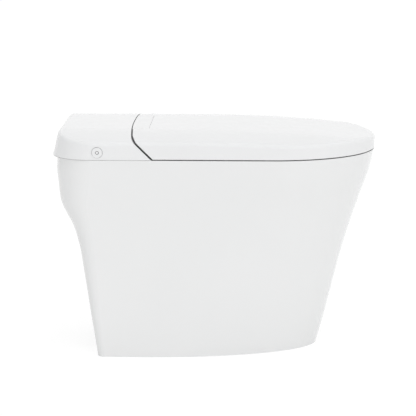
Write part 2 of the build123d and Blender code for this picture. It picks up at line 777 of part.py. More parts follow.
with housing_hollow:
    for x, y in COVER_BOSSES:
        add(rod((x, y, BASE_TOP + SEAT_GAP), (x, y, CASING_TOP), BOSS_RADIUS), mode=Mode.SUBTRACT)
with housing_cover:
    add(housing_hollow.part, mode=Mode.SUBTRACT)
    for low_x, high_x in arm_spans(ARM_SLOT_GAP):
        slot_high = (high_x, SEAM_BOW_MIDDLE + SEAM_TOP_GAP + CASING_WALL, SLOT_TOP)
        add(block((low_x, SEAM_FOOT_Y - 5, RIM_TOP - 1), slot_high), mode=Mode.SUBTRACT)
    dial_out = (DIAL_FACE - 10, DIAL_Y, DIAL_Z)
    add(rod(dial_out, (BEZEL_BACK, DIAL_Y, DIAL_Z), DIAL_HOLE_RADIUS), mode=Mode.SUBTRACT)
    gland_out = (GLAND_X, CASING_FOOT_BACK + 5, GLAND_Z)
    gland_in = (GLAND_X, CASING_FOOT_BACK - 20, GLAND_Z)
    add(rod(gland_out, gland_in, GLAND_NECK + SEAT_GAP), mode=Mode.SUBTRACT)
    for x, y in COVER_BOSSES:
        screw_top = RIM_TOP + SCREW_LENGTH + SEAT_GAP
        add(rod((x, y, RIM_TOP), (x, y, screw_top), SCREW_RADIUS + SCREW_FIT), mode=Mode.SUBTRACT)
save("housing_cover", housing_cover)

# Chassis plate of the housing
with BuildPart() as housing_base:
    add(casing_form(CASING_WALL + SEAT_GAP, BASE_THICKNESS, 0))
    base_shift = -LID_SLOPE_SHIFT + SLOPE_WALL + 2 * SEAT_GAP
    add(front_of_seam(base_shift, -LID_TOP_SHIFT), mode=Mode.SUBTRACT)
    add(block((-300, -400, BASE_TOP), (300, 400, CASING_TOP + 9)), mode=Mode.SUBTRACT)
    window_low = (-NOZZLE_WINDOW_HALF, WELL_FRONT, RIM_TOP - 1)
    add(block(window_low, (NOZZLE_WINDOW_HALF, BASE_BACK, BASE_TOP + 1)), mode=Mode.SUBTRACT)
    service_low = (*SERVICE_WINDOW[0], RIM_TOP - 1)
    add(block(service_low, (*SERVICE_WINDOW[1], BASE_TOP + 1)), mode=Mode.SUBTRACT)
    for low_x, high_x in arm_spans(ARM_SLOT_GAP):
        slot_high = (high_x, ARM_SLOT_BACK, BASE_TOP + 1)
        add(block((low_x, WELL_FRONT, RIM_TOP - 1), slot_high), mode=Mode.SUBTRACT)
    for x, y in BASE_BOLTS:
        bolt_low = (x, y, RIM_TOP - 1)
        add(rod(bolt_low, (x, y, BASE_TOP + 1), BOLT_RADIUS + BOLT_GAP), mode=Mode.SUBTRACT)
    for x, y in COVER_BOSSES:
        hole_low = (x, y, RIM_TOP - 1)
        add(rod(hole_low, (x, y, BASE_TOP + 1), SCREW_RADIUS + SEAT_GAP), mode=Mode.SUBTRACT)
        head_top = (x, y, RIM_TOP + SCREW_HEAD_HEIGHT)
        add(rod(hole_low, head_top, SCREW_HEAD_RADIUS + SEAT_GAP), mode=Mode.SUBTRACT)
    (board_left, board_front), (board_right, board_back) = CIRCUIT
    for x in (board_left + STANDOFF_MARGIN, board_right - STANDOFF_MARGIN):
        for y in (board_front + STANDOFF_MARGIN, board_back - STANDOFF_MARGIN):
            add(rod((x, y, BASE_TOP), (x, y, BASE_TOP + CIRCUIT_LIFT), STANDOFF_RADIUS))
save("housing_base", housing_base)

with BuildPart() as base_bolts:
    for x, y in BASE_BOLTS:
        bolt_low = (x, y, RIM_TOP - BOLT_DEPTH + 1)
        add(rod(bolt_low, (x, y, BASE_TOP), BOLT_RADIUS))
        add(rod((x, y, BASE_TOP), (x, y, BASE_TOP + BOLT_HEAD_HEIGHT), BOLT_HEAD_RADIUS))
save("base_bolts", base_bolts)

with BuildPart() as cover_screws:
    for x, y in COVER_BOSSES:
        add(rod((x, y, RIM_TOP + SCREW_HEAD_HEIGHT), (x, y, RIM_TOP + SCREW_LENGTH), SCREW_RADIUS))
        head_low = (x, y, RIM_TOP + SEAT_GAP / 2)
        add(rod(head_low, (x, y, RIM_TOP + SCREW_HEAD_HEIGHT), SCREW_HEAD_RADIUS))
save("cover_screws", cover_screws)

# Strain gland for the mains lead, in the back of the cover
GLAND_FACE = CASING_FOOT_BACK - CASING_BACK_LEAN * (GLAND_Z - RIM_TOP) / CASING_SPAN
with BuildPart() as power_gland:
    gland_wall = GLAND_FACE - CASING_WALL - SEAT_GAP
    gland_head = (GLAND_X, GLAND_FACE + GLAND_LEAN_GAP + SEAT_GAP, GLAND_Z)
    add(rod((GLAND_X, gland_wall - GLAND_NUT - 3, GLAND_Z), gland_head, GLAND_NECK))
    add(rod((GLAND_X, gland_wall - GLAND_NUT - 2, GLAND_Z), (GLAND_X, gland_wall - 2, GLAND_Z), GLAND_RADIUS))
    flange_start = (GLAND_X, GLAND_FACE + GLAND_LEAN_GAP, GLAND_Z)
    add(rod(flange_start, (GLAND_X, CASING_FOOT_BACK - 0.5, GLAND_Z), GLAND_RADIUS))
    bore_start = (GLAND_X, GLAND_FACE - 40, GLAND_Z)
    add(rod(bore_start, (GLAND_X, CASING_FOOT_BACK + 5, GLAND_Z), GLAND_BORE), mode=Mode.SUBTRACT)
save("power_gland", power_gland)

# Hinge blocks on the base, three a side
with BuildPart() as hinge_blocks:
    for span in (INNER_BLOCK, MIDDLE_BLOCK, OUTER_BLOCK):
        for low_x, high_x in both_sides(*span):
            add(rod((low_x, HINGE_Y, HINGE_Z), (high_x, HINGE_Y, HINGE_Z), BLOCK_RADIUS))
            foot_low = (low_x, HINGE_Y - BLOCK_RADIUS, BASE_TOP)
            add(block(foot_low, (high_x, HINGE_Y + BLOCK_RADIUS, HINGE_Z)))
            bore_start = (low_x - 1, HINGE_Y, HINGE_Z)
            bore_end = (high_x + 1, HINGE_Y, HINGE_Z)
            add(rod(bore_start, bore_end, SHAFT_RADIUS + SHAFT_FIT), mode=Mode.SUBTRACT)
save("hinge_blocks", hinge_blocks)

SHAFT_SPLIT = sum(MIDDLE_BLOCK) / 2
SEAT_SHAFT = (INNER_BLOCK[0] - ACTUATOR_SOCKET + SHAFT_END_GAP, SHAFT_SPLIT - SHAFT_SPLIT_GAP / 2)
LID_SHAFT = (SHAFT_SPLIT + SHAFT_SPLIT_GAP / 2, OUTER_BLOCK[1] + ACTUATOR_SOCKET - SHAFT_END_GAP)


def shaft_pair(span):
    """Two hinge shafts, left and right."""
    with BuildPart() as shafts:
        for low_x, high_x in both_sides(*span):
            add(rod((low_x, HINGE_Y, HINGE_Z), (high_x, HINGE_Y, HINGE_Z), SHAFT_RADIUS))
    return shafts


def arm_pair(middle, front, foot, top):
    """Two hinge arms: hub, leg down, foot ahead, post up, and a tongue that ends in front."""
    low = HINGE_Z - ARM_DEPTH
    with BuildPart() as arms:
        for low_x, high_x in both_sides(middle - ARM_WIDTH / 2, middle + ARM_WIDTH / 2):
            leg = HINGE_Y + LEG_FRONT
            add(rod((low_x, HINGE_Y, HINGE_Z), (high_x, HINGE_Y, HINGE_Z), HUB_RADIUS))
            add(block((low_x, leg, low), (high_x, leg + LEG_THICKNESS, HINGE_Z)))
            add(block((low_x, POST_FRONT, low), (high_x, leg + LEG_THICKNESS, low + ARM_THICKNESS)))
            add(block((low_x, POST_FRONT, low), (high_x, POST_FRONT + POST_THICKNESS, top)))
            add(block((low_x, front, foot), (high_x, POST_FRONT + POST_THICKNESS, top)))
            hub_start = (low_x - 1, HINGE_Y, HINGE_Z)
            add(rod(hub_start, (high_x + 1, HINGE_Y, HINGE_Z), SHAFT_RADIUS), mode=Mode.SUBTRACT)
    return arms


save("seat_shafts", shaft_pair(SEAT_SHAFT))
save("lid_shafts", shaft_pair(LID_SHAFT))
SEAT_BASE_TOP = SEAT_FOOT + SEAT_BASE_THICKNESS
save("seat_arms", arm_pair(SEAT_ARM_X, TONGUE_FRONT, SEAT_BASE_TOP, SEAT_BASE_TOP + ARM_THICKNESS))
PAD_TOP = CASING_TOP - PANEL_FOOT_DROP - crown_fall(LID_ARM_X + ARM_WIDTH / 2) - SEAT_GAP / 2
save("lid_arms", arm_pair(LID_ARM_X, PAD_FRONT, PAD_TOP - ARM_THICKNESS, PAD_TOP))


def actuator(face_x, away):
    """Soft-close drive on the face of a hinge block, with a socket for the shaft."""
    with BuildPart() as drive:
        end_x = face_x + away * ACTUATOR_LENGTH
        add(rod((face_x, HINGE_Y, HINGE_Z), (end_x, HINGE_Y, HINGE_Z), ACTUATOR_RADIUS))
        socket_end = (face_x + away * ACTUATOR_SOCKET, HINGE_Y, HINGE_Z)
        socket_start = (face_x - away, HINGE_Y, HINGE_Z)
        add(rod(socket_start, socket_end, SHAFT_RADIUS + SHAFT_FIT), mode=Mode.SUBTRACT)
    return drive


save("lid_actuator", actuator(OUTER_BLOCK[1], 1))
save("seat_actuator", actuator(-INNER_BLOCK[0], 1))


# Seat
def seat_plan(inset, hole_outset):
    """Plan of the seat ring, drawn in at its outside and opened at its hole."""
    with BuildSketch() as plan:
        add(
            plan_outline(
                SEAT_HALF_WIDTH - inset,
                RIM_NOSE_CENTRE,
                SEAT_TIP + inset,
                SEAT_REAR - inset,
                SEAT_CORNER - inset,
            )
        )
        with Locations((0, SEAT_HOLE_Y)):
            Ellipse(
                SEAT_HOLE_HALF_WIDTH + hole_outset,
                SEAT_HOLE_HALF_LENGTH + hole_outset,
                mode=Mode.SUBTRACT,
            )
    return plan.sketch


with BuildPart() as seat_ring:
    with BuildSketch(Plane.XY.offset(SEAT_BASE_TOP)):
        add(seat_plan(0, 0))
    extrude(amount=SEAT_TOP - SEAT_BASE_TOP)
    top_edges = seat_ring.faces().sort_by(Axis.Z)[-1]
    fillet(top_edges.outer_wire().edges(), SEAT_OUTER_ROUND)
    fillet(seat_ring.faces().sort_by(Axis.Z)[-1].inner_wires()[0].edges(), SEAT_INNER_ROUND)
    with BuildSketch(Plane.XY.offset(SEAT_BASE_TOP)):
        add(seat_plan(SEAT_OUTER_ROUND + 1, SEAT_INNER_ROUND + 1))
    extrude(amount=SEAT_TOP - SEAT_BASE_TOP - SEAT_WALL, mode=Mode.SUBTRACT)
    for low_x, high_x in both_sides(SEAT_ARM_X - ARM_WIDTH / 2, SEAT_ARM_X + ARM_WIDTH / 2):
        slot_low = (low_x - SEAT_GAP, TONGUE_FRONT - SEAT_GAP, SEAT_BASE_TOP)
        slot_high = (high_x + SEAT_GAP, SEAT_REAR + 5, SEAT_BASE_TOP + ARM_THICKNESS + SEAT_GAP)
        add(block(slot_low, slot_high), mode=Mode.SUBTRACT)
save("seat_ring", seat_ring)

with BuildPart() as seat_base:
    with BuildSketch(Plane.XY.offset(SEAT_FOOT)):
        add(seat_plan(0, 0))
    extrude(amount=SEAT_BASE_THICKNESS)
save("seat_base", seat_base)

with BuildPart() as seat_heater:
    with BuildSketch(Plane.XY.offset(SEAT_TOP - SEAT_WALL - HEATER_THICKNESS)):
        add(seat_plan(HEATER_MARGIN, HEATER_MARGIN))
    extrude(amount=HEATER_THICKNESS)
save("seat_heater", seat_heater)

with BuildPart() as seat_bumpers:
    with BuildSketch(Plane.XY.offset(RIM_TOP)):
        with Locations(*SEAT_BUMPERS):
            Circle(BUMPER_RADIUS)
    extrude(amount=SEAT_FOOT - RIM_TOP)
save("seat_bumpers", seat_bumpers)

# Side dial, its button, the ring that carries it and the encoder behind it


def dial_rod(start_x, end_x, radius):
    """Round rod on the dial's axis."""
    return rod((start_x, DIAL_Y, DIAL_Z), (end_x, DIAL_Y, DIAL_Z), radius)


with BuildPart() as side_dial:
    add(dial_rod(DIAL_FACE, DIAL_SHOULDER, DIAL_RADIUS))
    add(dial_rod(DIAL_SHOULDER, DIAL_END, DIAL_JOURNAL))
    add(dial_rod(DIAL_FACE - 1, DIAL_END + 1, BUTTON_RADIUS + SHAFT_FIT), mode=Mode.SUBTRACT)
    add(dial_rod(DIAL_FACE - 1, DIAL_FACE + BUTTON_RING_DEPTH, BUTTON_RING), mode=Mode.SUBTRACT)
save("side_dial", side_dial)

with BuildPart() as dial_button:
    add(dial_rod(DIAL_FACE, BUTTON_END, BUTTON_RADIUS))
save("dial_button", dial_button)

with BuildPart() as dial_bezel:
    add(dial_rod(BEZEL_FACE, BEZEL_BACK, BEZEL_RADIUS))
    foot_low = (BASE_SIDE, DIAL_Y - BEZEL_FOOT, BASE_TOP)
    add(block(foot_low, (BEZEL_BACK, DIAL_Y + BEZEL_FOOT, DIAL_Z)))
    add(block((-250, 200, 400), (BEZEL_BACK + 1, 300, BASE_TOP)), mode=Mode.SUBTRACT)
    add(dial_rod(BEZEL_FACE - 1, BEZEL_BACK + 1, DIAL_JOURNAL + SHAFT_FIT), mode=Mode.SUBTRACT)
    add(dial_rod(BEZEL_FACE - 1, DIAL_SHOULDER + 0.5, DIAL_HOLE_RADIUS), mode=Mode.SUBTRACT)
save("dial_bezel", dial_bezel)

with BuildPart() as dial_encoder:
    encoder_low = (ENCODER_FACE, DIAL_Y - ENCODER_HALF, BASE_TOP)
    add(block(encoder_low, (ENCODER_BACK, DIAL_Y + ENCODER_HALF, ENCODER_TOP)))
    add(dial_rod(ENCODER_FACE - 1, ENCODER_BACK - 3, BUTTON_RING), mode=Mode.SUBTRACT)
save("dial_encoder", dial_encoder)

# Nozzle
TILT = math.radians(NOZZLE_TILT)
NOZZLE_PLANE = Plane(NOZZLE_TIP, x_dir=(1, 0, 0), z_dir=(0, -math.cos(TILT), -math.sin(TILT)))
RACK_PITCH = math.pi * GEAR_MODULE


def tooth(root_half, tip_half, root, tip):
    """Section of one straight-sided tooth, pointing up."""
    with BuildSketch() as section:
        Polygon((-root_half, root), (root_half, root), (tip_half, tip), (-tip_half, tip), align=None)
    return section.sketch


with BuildPart() as nozzle_wand:
    with BuildSketch(NOZZLE_PLANE.offset(-NOZZLE_LENGTH)):
        Circle(NOZZLE_RADIUS)
        with Locations((0, (RACK_ROOT) / 2)):
            Rectangle(RACK_WIDTH, RACK_ROOT)
    extrude(amount=NOZZLE_LENGTH - NOZZLE_CAP)
    half_pitch = RACK_PITCH / 4 - TOOTH_SLACK / 2
    slant = math.tan(math.radians(20))
    tooth_root = half_pitch + (RACK_PITCH_LINE - RACK_ROOT) * slant
    tooth_tip = half_pitch - (RACK_TIP - RACK_PITCH_LINE) * slant
    count = int((NOZZLE_LENGTH + RACK_FRONT) / RACK_PITCH)
    rack_plane = Plane(NOZZLE_PLANE.origin, x_dir=-NOZZLE_PLANE.z_dir, z_dir=NOZZLE_PLANE.x_dir)
    with BuildSketch(rack_plane.offset(-RACK_WIDTH / 2)):
        for step in range(count):
            with Locations((-PINION_Z + (step - int(-(PINION_Z - RACK_FRONT) / RACK_PITCH)) * RACK_PITCH, 0)):
                add(tooth(tooth_root, tooth_tip, RACK_ROOT - 0.3, RACK_TIP))
    extrude(amount=RACK_WIDTH)
save("nozzle_wand", nozzle_wand)

with BuildPart() as nozzle_tip:
    with BuildSketch(NOZZLE_PLANE.offset(-NOZZLE_CAP)):
        Circle(NOZZLE_RADIUS)
    extrude(amount=NOZZLE_CAP)
    fillet(nozzle_tip.faces().sort_by(Axis.Y)[0].edges(), NOZZLE_CAP / 4)
    for step in (-1, 0, 1):
        spray = NOZZLE_PLANE.from_local_coords(Vector(step * 2.5, NOZZLE_RADIUS + 1, -NOZZLE_CAP / 2))
        inner = NOZZLE_PLANE.from_local_coords(Vector(step * 2.5, NOZZLE_RADIUS - 3, -NOZZLE_CAP / 2))
        add(rod(spray, inner, SPRAY_HOLE), mode=Mode.SUBTRACT)
save("nozzle_tip", nozzle_tip)

with BuildPart() as nozzle_cradle:
    with BuildSketch(NOZZLE_PLANE.offset(CRADLE_REAR)):
        with Locations((0, (CRADLE_FLOOR + CRADLE_TOP) / 2)):
            Rectangle(2 * CRADLE_HALF, CRADLE_TOP - CRADLE_FLOOR)
        with Locations((0, CRADLE_FLOOR_TOP)):
            inner_width = 2 * (NOZZLE_RADIUS + CRADLE_SIDE_GAP)
            Rectangle(inner_width, 50, align=(Align.CENTER, Align.MIN), mode=Mode.SUBTRACT)
    extrude(amount=CRADLE_FRONT - CRADLE_REAR)
    (ear_front, ear_back), (ear_low, ear_high) = CRADLE_EAR
    for low_x, high_x in both_sides(CRADLE_HALF - 1, CRADLE_EAR_X):
        add(block((low_x, ear_front, ear_low), (high_x, ear_back, ear_high)))
save("nozzle_cradle", nozzle_cradle)

# Pinion over the rack, on the shaft of its motor
PINION_RADIUS = GEAR_MODULE * PINION_TEETH / 2
PINION_CENTRE = NOZZLE_PLANE.from_local_coords(Vector(0, RACK_PITCH_LINE + PINION_RADIUS, PINION_Z))
PINION_PLANE = Plane(PINION_CENTRE, x_dir=-NOZZLE_PLANE.z_dir, z_dir=(1, 0, 0))
with BuildPart() as nozzle_pinion:
    with BuildSketch(PINION_PLANE.offset(-PINION_WIDTH / 2)):
        Circle(PINION_ROOT_RADIUS)
        lower_flank = [(radius, -half) for radius, half in PINION_FLANK]
        upper_flank = [(radius, half) for radius, half in reversed(PINION_FLANK)]
        with PolarLocations(0, PINION_TEETH):
            Polygon(*lower_flank, *upper_flank, align=None)
    extrude(amount=PINION_WIDTH)
    with BuildSketch(PINION_PLANE):
        Circle(PINION_SHAFT)
    extrude(amount=PINION_SHAFT_END)
save("nozzle_pinion", nozzle_pinion)

with BuildPart() as nozzle_motor:
    with BuildSketch(PINION_PLANE.offset(NOZZLE_MOTOR[0])):
        Circle(NOZZLE_MOTOR_RADIUS)
    extrude(amount=NOZZLE_MOTOR[1] - NOZZLE_MOTOR[0])
    foot_low = (MOTOR_FOOT_X, PINION_CENTRE.Y - 5, BASE_TOP)
    add(block(foot_low, (NOZZLE_MOTOR[1], PINION_CENTRE.Y + 5, PINION_CENTRE.Z)))
    with BuildSketch(PINION_PLANE.offset(NOZZLE_MOTOR[0] - 1)):
        Circle(PINION_SHAFT + SHAFT_FIT)
    extrude(amount=PINION_SHAFT_END + 2 - NOZZLE_MOTOR[0], mode=Mode.SUBTRACT)
save("nozzle_motor", nozzle_motor)

# Dryer: scroll, fan, motor, duct and flap
with BuildPart() as dryer_housing:
    add(rod((SCROLL_X, SCROLL_Y, SCROLL_FOOT), (SCROLL_X, SCROLL_Y, RIM_TOP), SCROLL_RADIUS))
    add(block((DUCT_LEFT, DUCT_BACK, DUCT_FOOT), (DUCT_RIGHT, SCROLL_Y, DUCT_TOP)))
    scroll_low = (SCROLL_X, SCROLL_Y, SCROLL_FOOT + SCROLL_WALL)
    scroll_high = (SCROLL_X, SCROLL_Y, RIM_TOP - SCROLL_WALL)
    add(rod(scroll_low, scroll_high, SCROLL_RADIUS - SCROLL_WALL), mode=Mode.SUBTRACT)
    mouth_low = (DUCT_LEFT + DUCT_WALL, DUCT_BACK - 1, DUCT_FOOT + DUCT_WALL)
    mouth_high = (DUCT_RIGHT - DUCT_WALL, SCROLL_Y, DUCT_TOP - DUCT_WALL)
    add(block(mouth_low, mouth_high), mode=Mode.SUBTRACT)
    shaft_hole = (SCROLL_X, SCROLL_Y, SCROLL_FOOT - 1)
    add(rod(shaft_hole, scroll_low, 2 * FAN_SHAFT), mode=Mode.SUBTRACT)
    with BuildSketch(Plane.XY.offset(SCROLL_FOOT)):
        with Locations((SCROLL_X, SCROLL_Y)):
            with PolarLocations((DRYER_MOTOR_RADIUS + FAN_RADIUS) / 2, INTAKE_HOLES):
                Circle(INTAKE_RADIUS)
    extrude(amount=SCROLL_WALL, mode=Mode.SUBTRACT)
save("dryer_housing", dryer_housing)

with BuildPart() as dryer_fan:
    with BuildSketch(Plane.XY.offset(FAN_FOOT)):
        with Locations((SCROLL_X, SCROLL_Y)):
            Circle(FAN_RADIUS)
    extrude(amount=FAN_DISC)
    with BuildSketch(Plane.XY.offset(FAN_FOOT)):
        with Locations((SCROLL_X, SCROLL_Y)):
            Circle(FAN_HUB)
            with PolarLocations((FAN_RADIUS + FAN_BLADE_START) / 2, FAN_BLADES):
                Rectangle(FAN_RADIUS - FAN_BLADE_START, FAN_BLADE_THICKNESS)
    extrude(amount=FAN_TOP - FAN_FOOT)
    add(rod((SCROLL_X, SCROLL_Y, FAN_SHAFT_LOW), (SCROLL_X, SCROLL_Y, FAN_FOOT), FAN_SHAFT))
save("dryer_fan", dryer_fan)

with BuildPart() as dryer_motor:
    motor_low = (SCROLL_X, SCROLL_Y, DRYER_MOTOR_LOW)
    add(rod(motor_low, (SCROLL_X, SCROLL_Y, SCROLL_FOOT), DRYER_MOTOR_RADIUS))
    socket_low = (SCROLL_X, SCROLL_Y, FAN_SHAFT_LOW - SHAFT_END_GAP)
    socket_high = (SCROLL_X, SCROLL_Y, SCROLL_FOOT + 1)
    add(rod(socket_low, socket_high, FAN_SHAFT + SHAFT_FIT), mode=Mode.SUBTRACT)
save("dryer_motor", dryer_motor)

with BuildPart() as dryer_duct:
    add(block((DUCT_LEFT, DUCT_FRONT, DUCT_FOOT), (DUCT_RIGHT, DUCT_BACK, DUCT_TOP)))
    bore_low = (DUCT_LEFT + DUCT_WALL, DUCT_FRONT - 1, DUCT_FOOT + DUCT_WALL)
    bore_high = (DUCT_RIGHT - DUCT_WALL, DUCT_BACK + 1, DUCT_TOP - DUCT_WALL)
    add(block(bore_low, bore_high), mode=Mode.SUBTRACT)
    for low_x in (DUCT_LEFT - EAR_THICKNESS, DUCT_RIGHT):
        ear_low = (low_x, FLAP_AXIS_Y - 2 * FLAP_BARREL, FLAP_AXIS_Z - 2 * FLAP_BARREL)
        add(block(ear_low, (low_x + EAR_THICKNESS, DUCT_FRONT + 5, RIM_TOP)))
    pin_start = (DUCT_LEFT - 5, FLAP_AXIS_Y, FLAP_AXIS_Z)
    add(rod(pin_start, (DUCT_RIGHT + 5, FLAP_AXIS_Y, FLAP_AXIS_Z), FLAP_PIN), mode=Mode.SUBTRACT)
save("dryer_duct", dryer_duct)

with BuildPart() as flap_pin:
    pin_left = (DUCT_LEFT - EAR_THICKNESS, FLAP_AXIS_Y, FLAP_AXIS_Z)
    add(rod(pin_left, (DUCT_RIGHT + EAR_THICKNESS, FLAP_AXIS_Y, FLAP_AXIS_Z), FLAP_PIN))
save("flap_pin", flap_pin)

with BuildPart() as dryer_flap:
    flap_left = DUCT_LEFT + FLAP_SIDE_GAP
    flap_right = DUCT_RIGHT - FLAP_SIDE_GAP
    axis_left = (flap_left, FLAP_AXIS_Y, FLAP_AXIS_Z)
    add(rod(axis_left, (flap_right, FLAP_AXIS_Y, FLAP_AXIS_Z), FLAP_BARREL))
    plate_back = DUCT_FRONT - SEAT_GAP
    plate_low = (flap_left, plate_back - FLAP_THICKNESS, FLAP_FOOT)
    add(block(plate_low, (flap_right, plate_back, FLAP_AXIS_Z)))
    bore_left = (flap_left - 1, FLAP_AXIS_Y, FLAP_AXIS_Z)
    bore_right = (flap_right + 1, FLAP_AXIS_Y, FLAP_AXIS_Z)
    add(rod(bore_left, bore_right, FLAP_PIN + SHAFT_FIT), mode=Mode.SUBTRACT)
save("dryer_flap", dryer_flap)

# Deodoriser: cartridge, fan housing, fan and motor


def odour_rod(low_y, high_y, radius):
    """Round rod on the deodoriser fan's axis."""
    return rod((ODOUR_X, low_y, ODOUR_Z), (ODOUR_X, high_y, ODOUR_Z), radius)


with BuildPart() as odour_housing:
    add(odour_rod(ODOUR_FRONT, ODOUR_BACK, ODOUR_RADIUS))
    add(odour_rod(ODOUR_FRONT - 1, ODOUR_BACK + 1, ODOUR_BORE), mode=Mode.SUBTRACT)
    with BuildSketch(Plane((ODOUR_X, ODOUR_MOTOR[1] - 4, ODOUR_Z), z_dir=(0, 1, 0))):
        with PolarLocations((ODOUR_MOTOR_RADIUS + ODOUR_BORE) / 2, ODOUR_SPOKES):
            Rectangle(ODOUR_BORE - ODOUR_MOTOR_RADIUS + 1, ODOUR_SPOKE_WIDTH)
    extrude(amount=3)
    add(odour_rod(ODOUR_MOTOR[0], ODOUR_BACK, ODOUR_MOTOR_RADIUS), mode=Mode.SUBTRACT)
    # Hanger up to the chassis plate
    hanger_low = (ODOUR_X - ODOUR_HANGER_HALF, ODOUR_FRONT + 4, ODOUR_Z + ODOUR_BORE)
    add(block(hanger_low, (ODOUR_X + ODOUR_HANGER_HALF, ODOUR_BACK - 4, RIM_TOP)))
    tab_low = (ODOUR_X, ODOUR_BACK - 12, RIM_TOP - 3)
    add(block(tab_low, (NOZZLE_WINDOW_HALF + 5, ODOUR_BACK - 4, RIM_TOP)))
save("odour_housing", odour_housing)

with BuildPart() as odour_motor:
    add(odour_rod(ODOUR_MOTOR[0], ODOUR_MOTOR[1], ODOUR_MOTOR_RADIUS))
    add(odour_rod(ODOUR_MOTOR[0] - 1, ODOUR_MOTOR[1] - 3, ODOUR_SHAFT + SHAFT_FIT), mode=Mode.SUBTRACT)
save("odour_motor", odour_motor)

with BuildPart() as odour_fan:
    add(odour_rod(ODOUR_FAN[0], ODOUR_FAN[1], ODOUR_HUB))
    with BuildSketch(Plane((ODOUR_X, ODOUR_FAN[0] + 1, ODOUR_Z), z_dir=(0, 1, 0))):
        blade_root = ODOUR_HUB - 1
        blade_tip = ODOUR_BORE - 1
        with PolarLocations((blade_root + blade_tip) / 2, ODOUR_BLADES):
            Rectangle(blade_tip - blade_root, ODOUR_BLADE_THICKNESS)
    extrude(amount=ODOUR_FAN[1] - ODOUR_FAN[0] - 2)
    add(odour_rod(ODOUR_FAN[1], ODOUR_MOTOR[1] - 4, ODOUR_SHAFT))
save("odour_fan", odour_fan)

(CASE_LEFT, CASE_FRONT, CASE_FOOT), (CASE_RIGHT, CASE_BACK, CASE_TOP) = CARTRIDGE
with BuildPart() as odour_cartridge:
    add(block(*CARTRIDGE))
    hollow_low = (CASE_LEFT + CARTRIDGE_WALL, CASE_FRONT + CARTRIDGE_WALL, CASE_FOOT + CARTRIDGE_WALL)
    hollow_high = (CASE_RIGHT - CARTRIDGE_WALL, CASE_BACK + 1, CASE_TOP - CARTRIDGE_WALL)
    add(block(hollow_low, hollow_high), mode=Mode.SUBTRACT)
    slot_pitch = (CASE_RIGHT - CASE_LEFT - 2 * CARTRIDGE_WALL) / CARTRIDGE_SLOTS
    for step in range(CARTRIDGE_SLOTS):
        slot_x = CASE_LEFT + CARTRIDGE_WALL + (step + 0.25) * slot_pitch
        slot_low = (slot_x, CASE_FRONT - 1, CASE_FOOT + 2 * CARTRIDGE_WALL)
        slot_high = (slot_x + slot_pitch / 2, CASE_FRONT + 3, CASE_TOP - 2 * CARTRIDGE_WALL)
        add(block(slot_low, slot_high), mode=Mode.SUBTRACT)
save("odour_cartridge", odour_cartridge)

with BuildPart() as odour_filter:
    filter_low = (CASE_LEFT + CARTRIDGE_WALL, CASE_BACK - 2 - FILTER_LENGTH, CASE_FOOT + CARTRIDGE_WALL)
    filter_high = (CASE_RIGHT - CARTRIDGE_WALL, CASE_BACK - 2, CASE_TOP - CARTRIDGE_WALL)
    add(block(filter_low, filter_high))
save("odour_filter", odour_filter)

# Water inlet through the well floor, and its locknut and filter
LOCKNUT_TOP = WELL_FLOOR - CERAMIC_WALL
with BuildPart() as inlet_valve:
    shank_foot = (INLET_X, INLET_Y, LOCKNUT_TOP - LOCKNUT_HEIGHT)
    add(rod((INLET_X, INLET_Y, THREAD_END), shank_foot, THREAD_RADIUS))
    add(rod(shank_foot, (INLET_X, INLET_Y, WELL_FLOOR), SHANK_RADIUS))
    add(rod((INLET_X, INLET_Y, WELL_FLOOR), (INLET_X, INLET_Y, WELL_FLOOR + 4), INLET_FLANGE))
    add(rod((INLET_X, INLET_Y, WELL_FLOOR), (INLET_X, INLET_Y, INLET_TOP), INLET_RADIUS))
    bore_top = (INLET_X, INLET_Y, INLET_TOP - 8)
    add(rod((INLET_X, INLET_Y, THREAD_END - 1), bore_top, THREAD_RADIUS - 3), mode=Mode.SUBTRACT)
save("inlet_valve", inlet_valve)

with BuildPart() as inlet_locknut:
    with BuildSketch(Plane.XY.offset(LOCKNUT_TOP - LOCKNUT_HEIGHT)):
        with Locations((INLET_X, INLET_Y)):
            RegularPolygon(LOCKNUT_FLATS / 2, 6, major_radius=False)
            Circle(SHANK_RADIUS + SHAFT_FIT, mode=Mode.SUBTRACT)
    extrude(amount=LOCKNUT_HEIGHT)
save("inlet_locknut", inlet_locknut)

with BuildPart() as inlet_filter:
    add(rod((INLET_X, INLET_Y, INLET_TOP), (INLET_X, INLET_Y, INLET_TOP + FILTER_HEIGHT), FILTER_RADIUS))
    with BuildSketch(Plane.XY.offset(INLET_TOP + FILTER_HEIGHT / 2)):
        with Locations((INLET_X, INLET_Y)):
            with PolarLocations(FILTER_RADIUS, 16):
                Circle(0.8)
    extrude(amount=FILTER_HEIGHT / 2, mode=Mode.SUBTRACT)
save("inlet_filter", inlet_filter)

with BuildPart() as booster_pump:
    add(rod((PUMP_X, PUMP_Y, WELL_FLOOR), (PUMP_X, PUMP_Y, PUMP_TOP), PUMP_RADIUS))
    fillet(booster_pump.faces().sort_by(Axis.Z)[-1].edges(), 4)
    add(rod((PUMP_X, PUMP_Y, PUMP_TOP - 5), (PUMP_X, PUMP_Y, PUMP_TOP + 6), PUMP_RADIUS / 2))
save("booster_pump", booster_pump)

with BuildPart() as flush_valve:
    add(block(*FLUSH_VALVE))
    fillet(flush_valve.edges().filter_by(Axis.Z), 4)
save("flush_valve", flush_valve)

FLUSH_MIDDLE = tuple((low + high) / 2 for low, high in zip(*FLUSH_VALVE))
with BuildPart() as valve_coil:
    coil_low = (FLUSH_MIDDLE[0], FLUSH_MIDDLE[1], FLUSH_VALVE[1][2])
    coil_high = (FLUSH_MIDDLE[0], FLUSH_MIDDLE[1], FLUSH_VALVE[1][2] + COIL_HEIGHT)
    add(rod(coil_low, coil_high, COIL_RADIUS))
save("valve_coil", valve_coil)

with BuildPart() as wash_valve:
    add(block(*WASH_VALVE))
    fillet(wash_valve.edges().filter_by(Axis.Z), 3)
save("wash_valve", wash_valve)

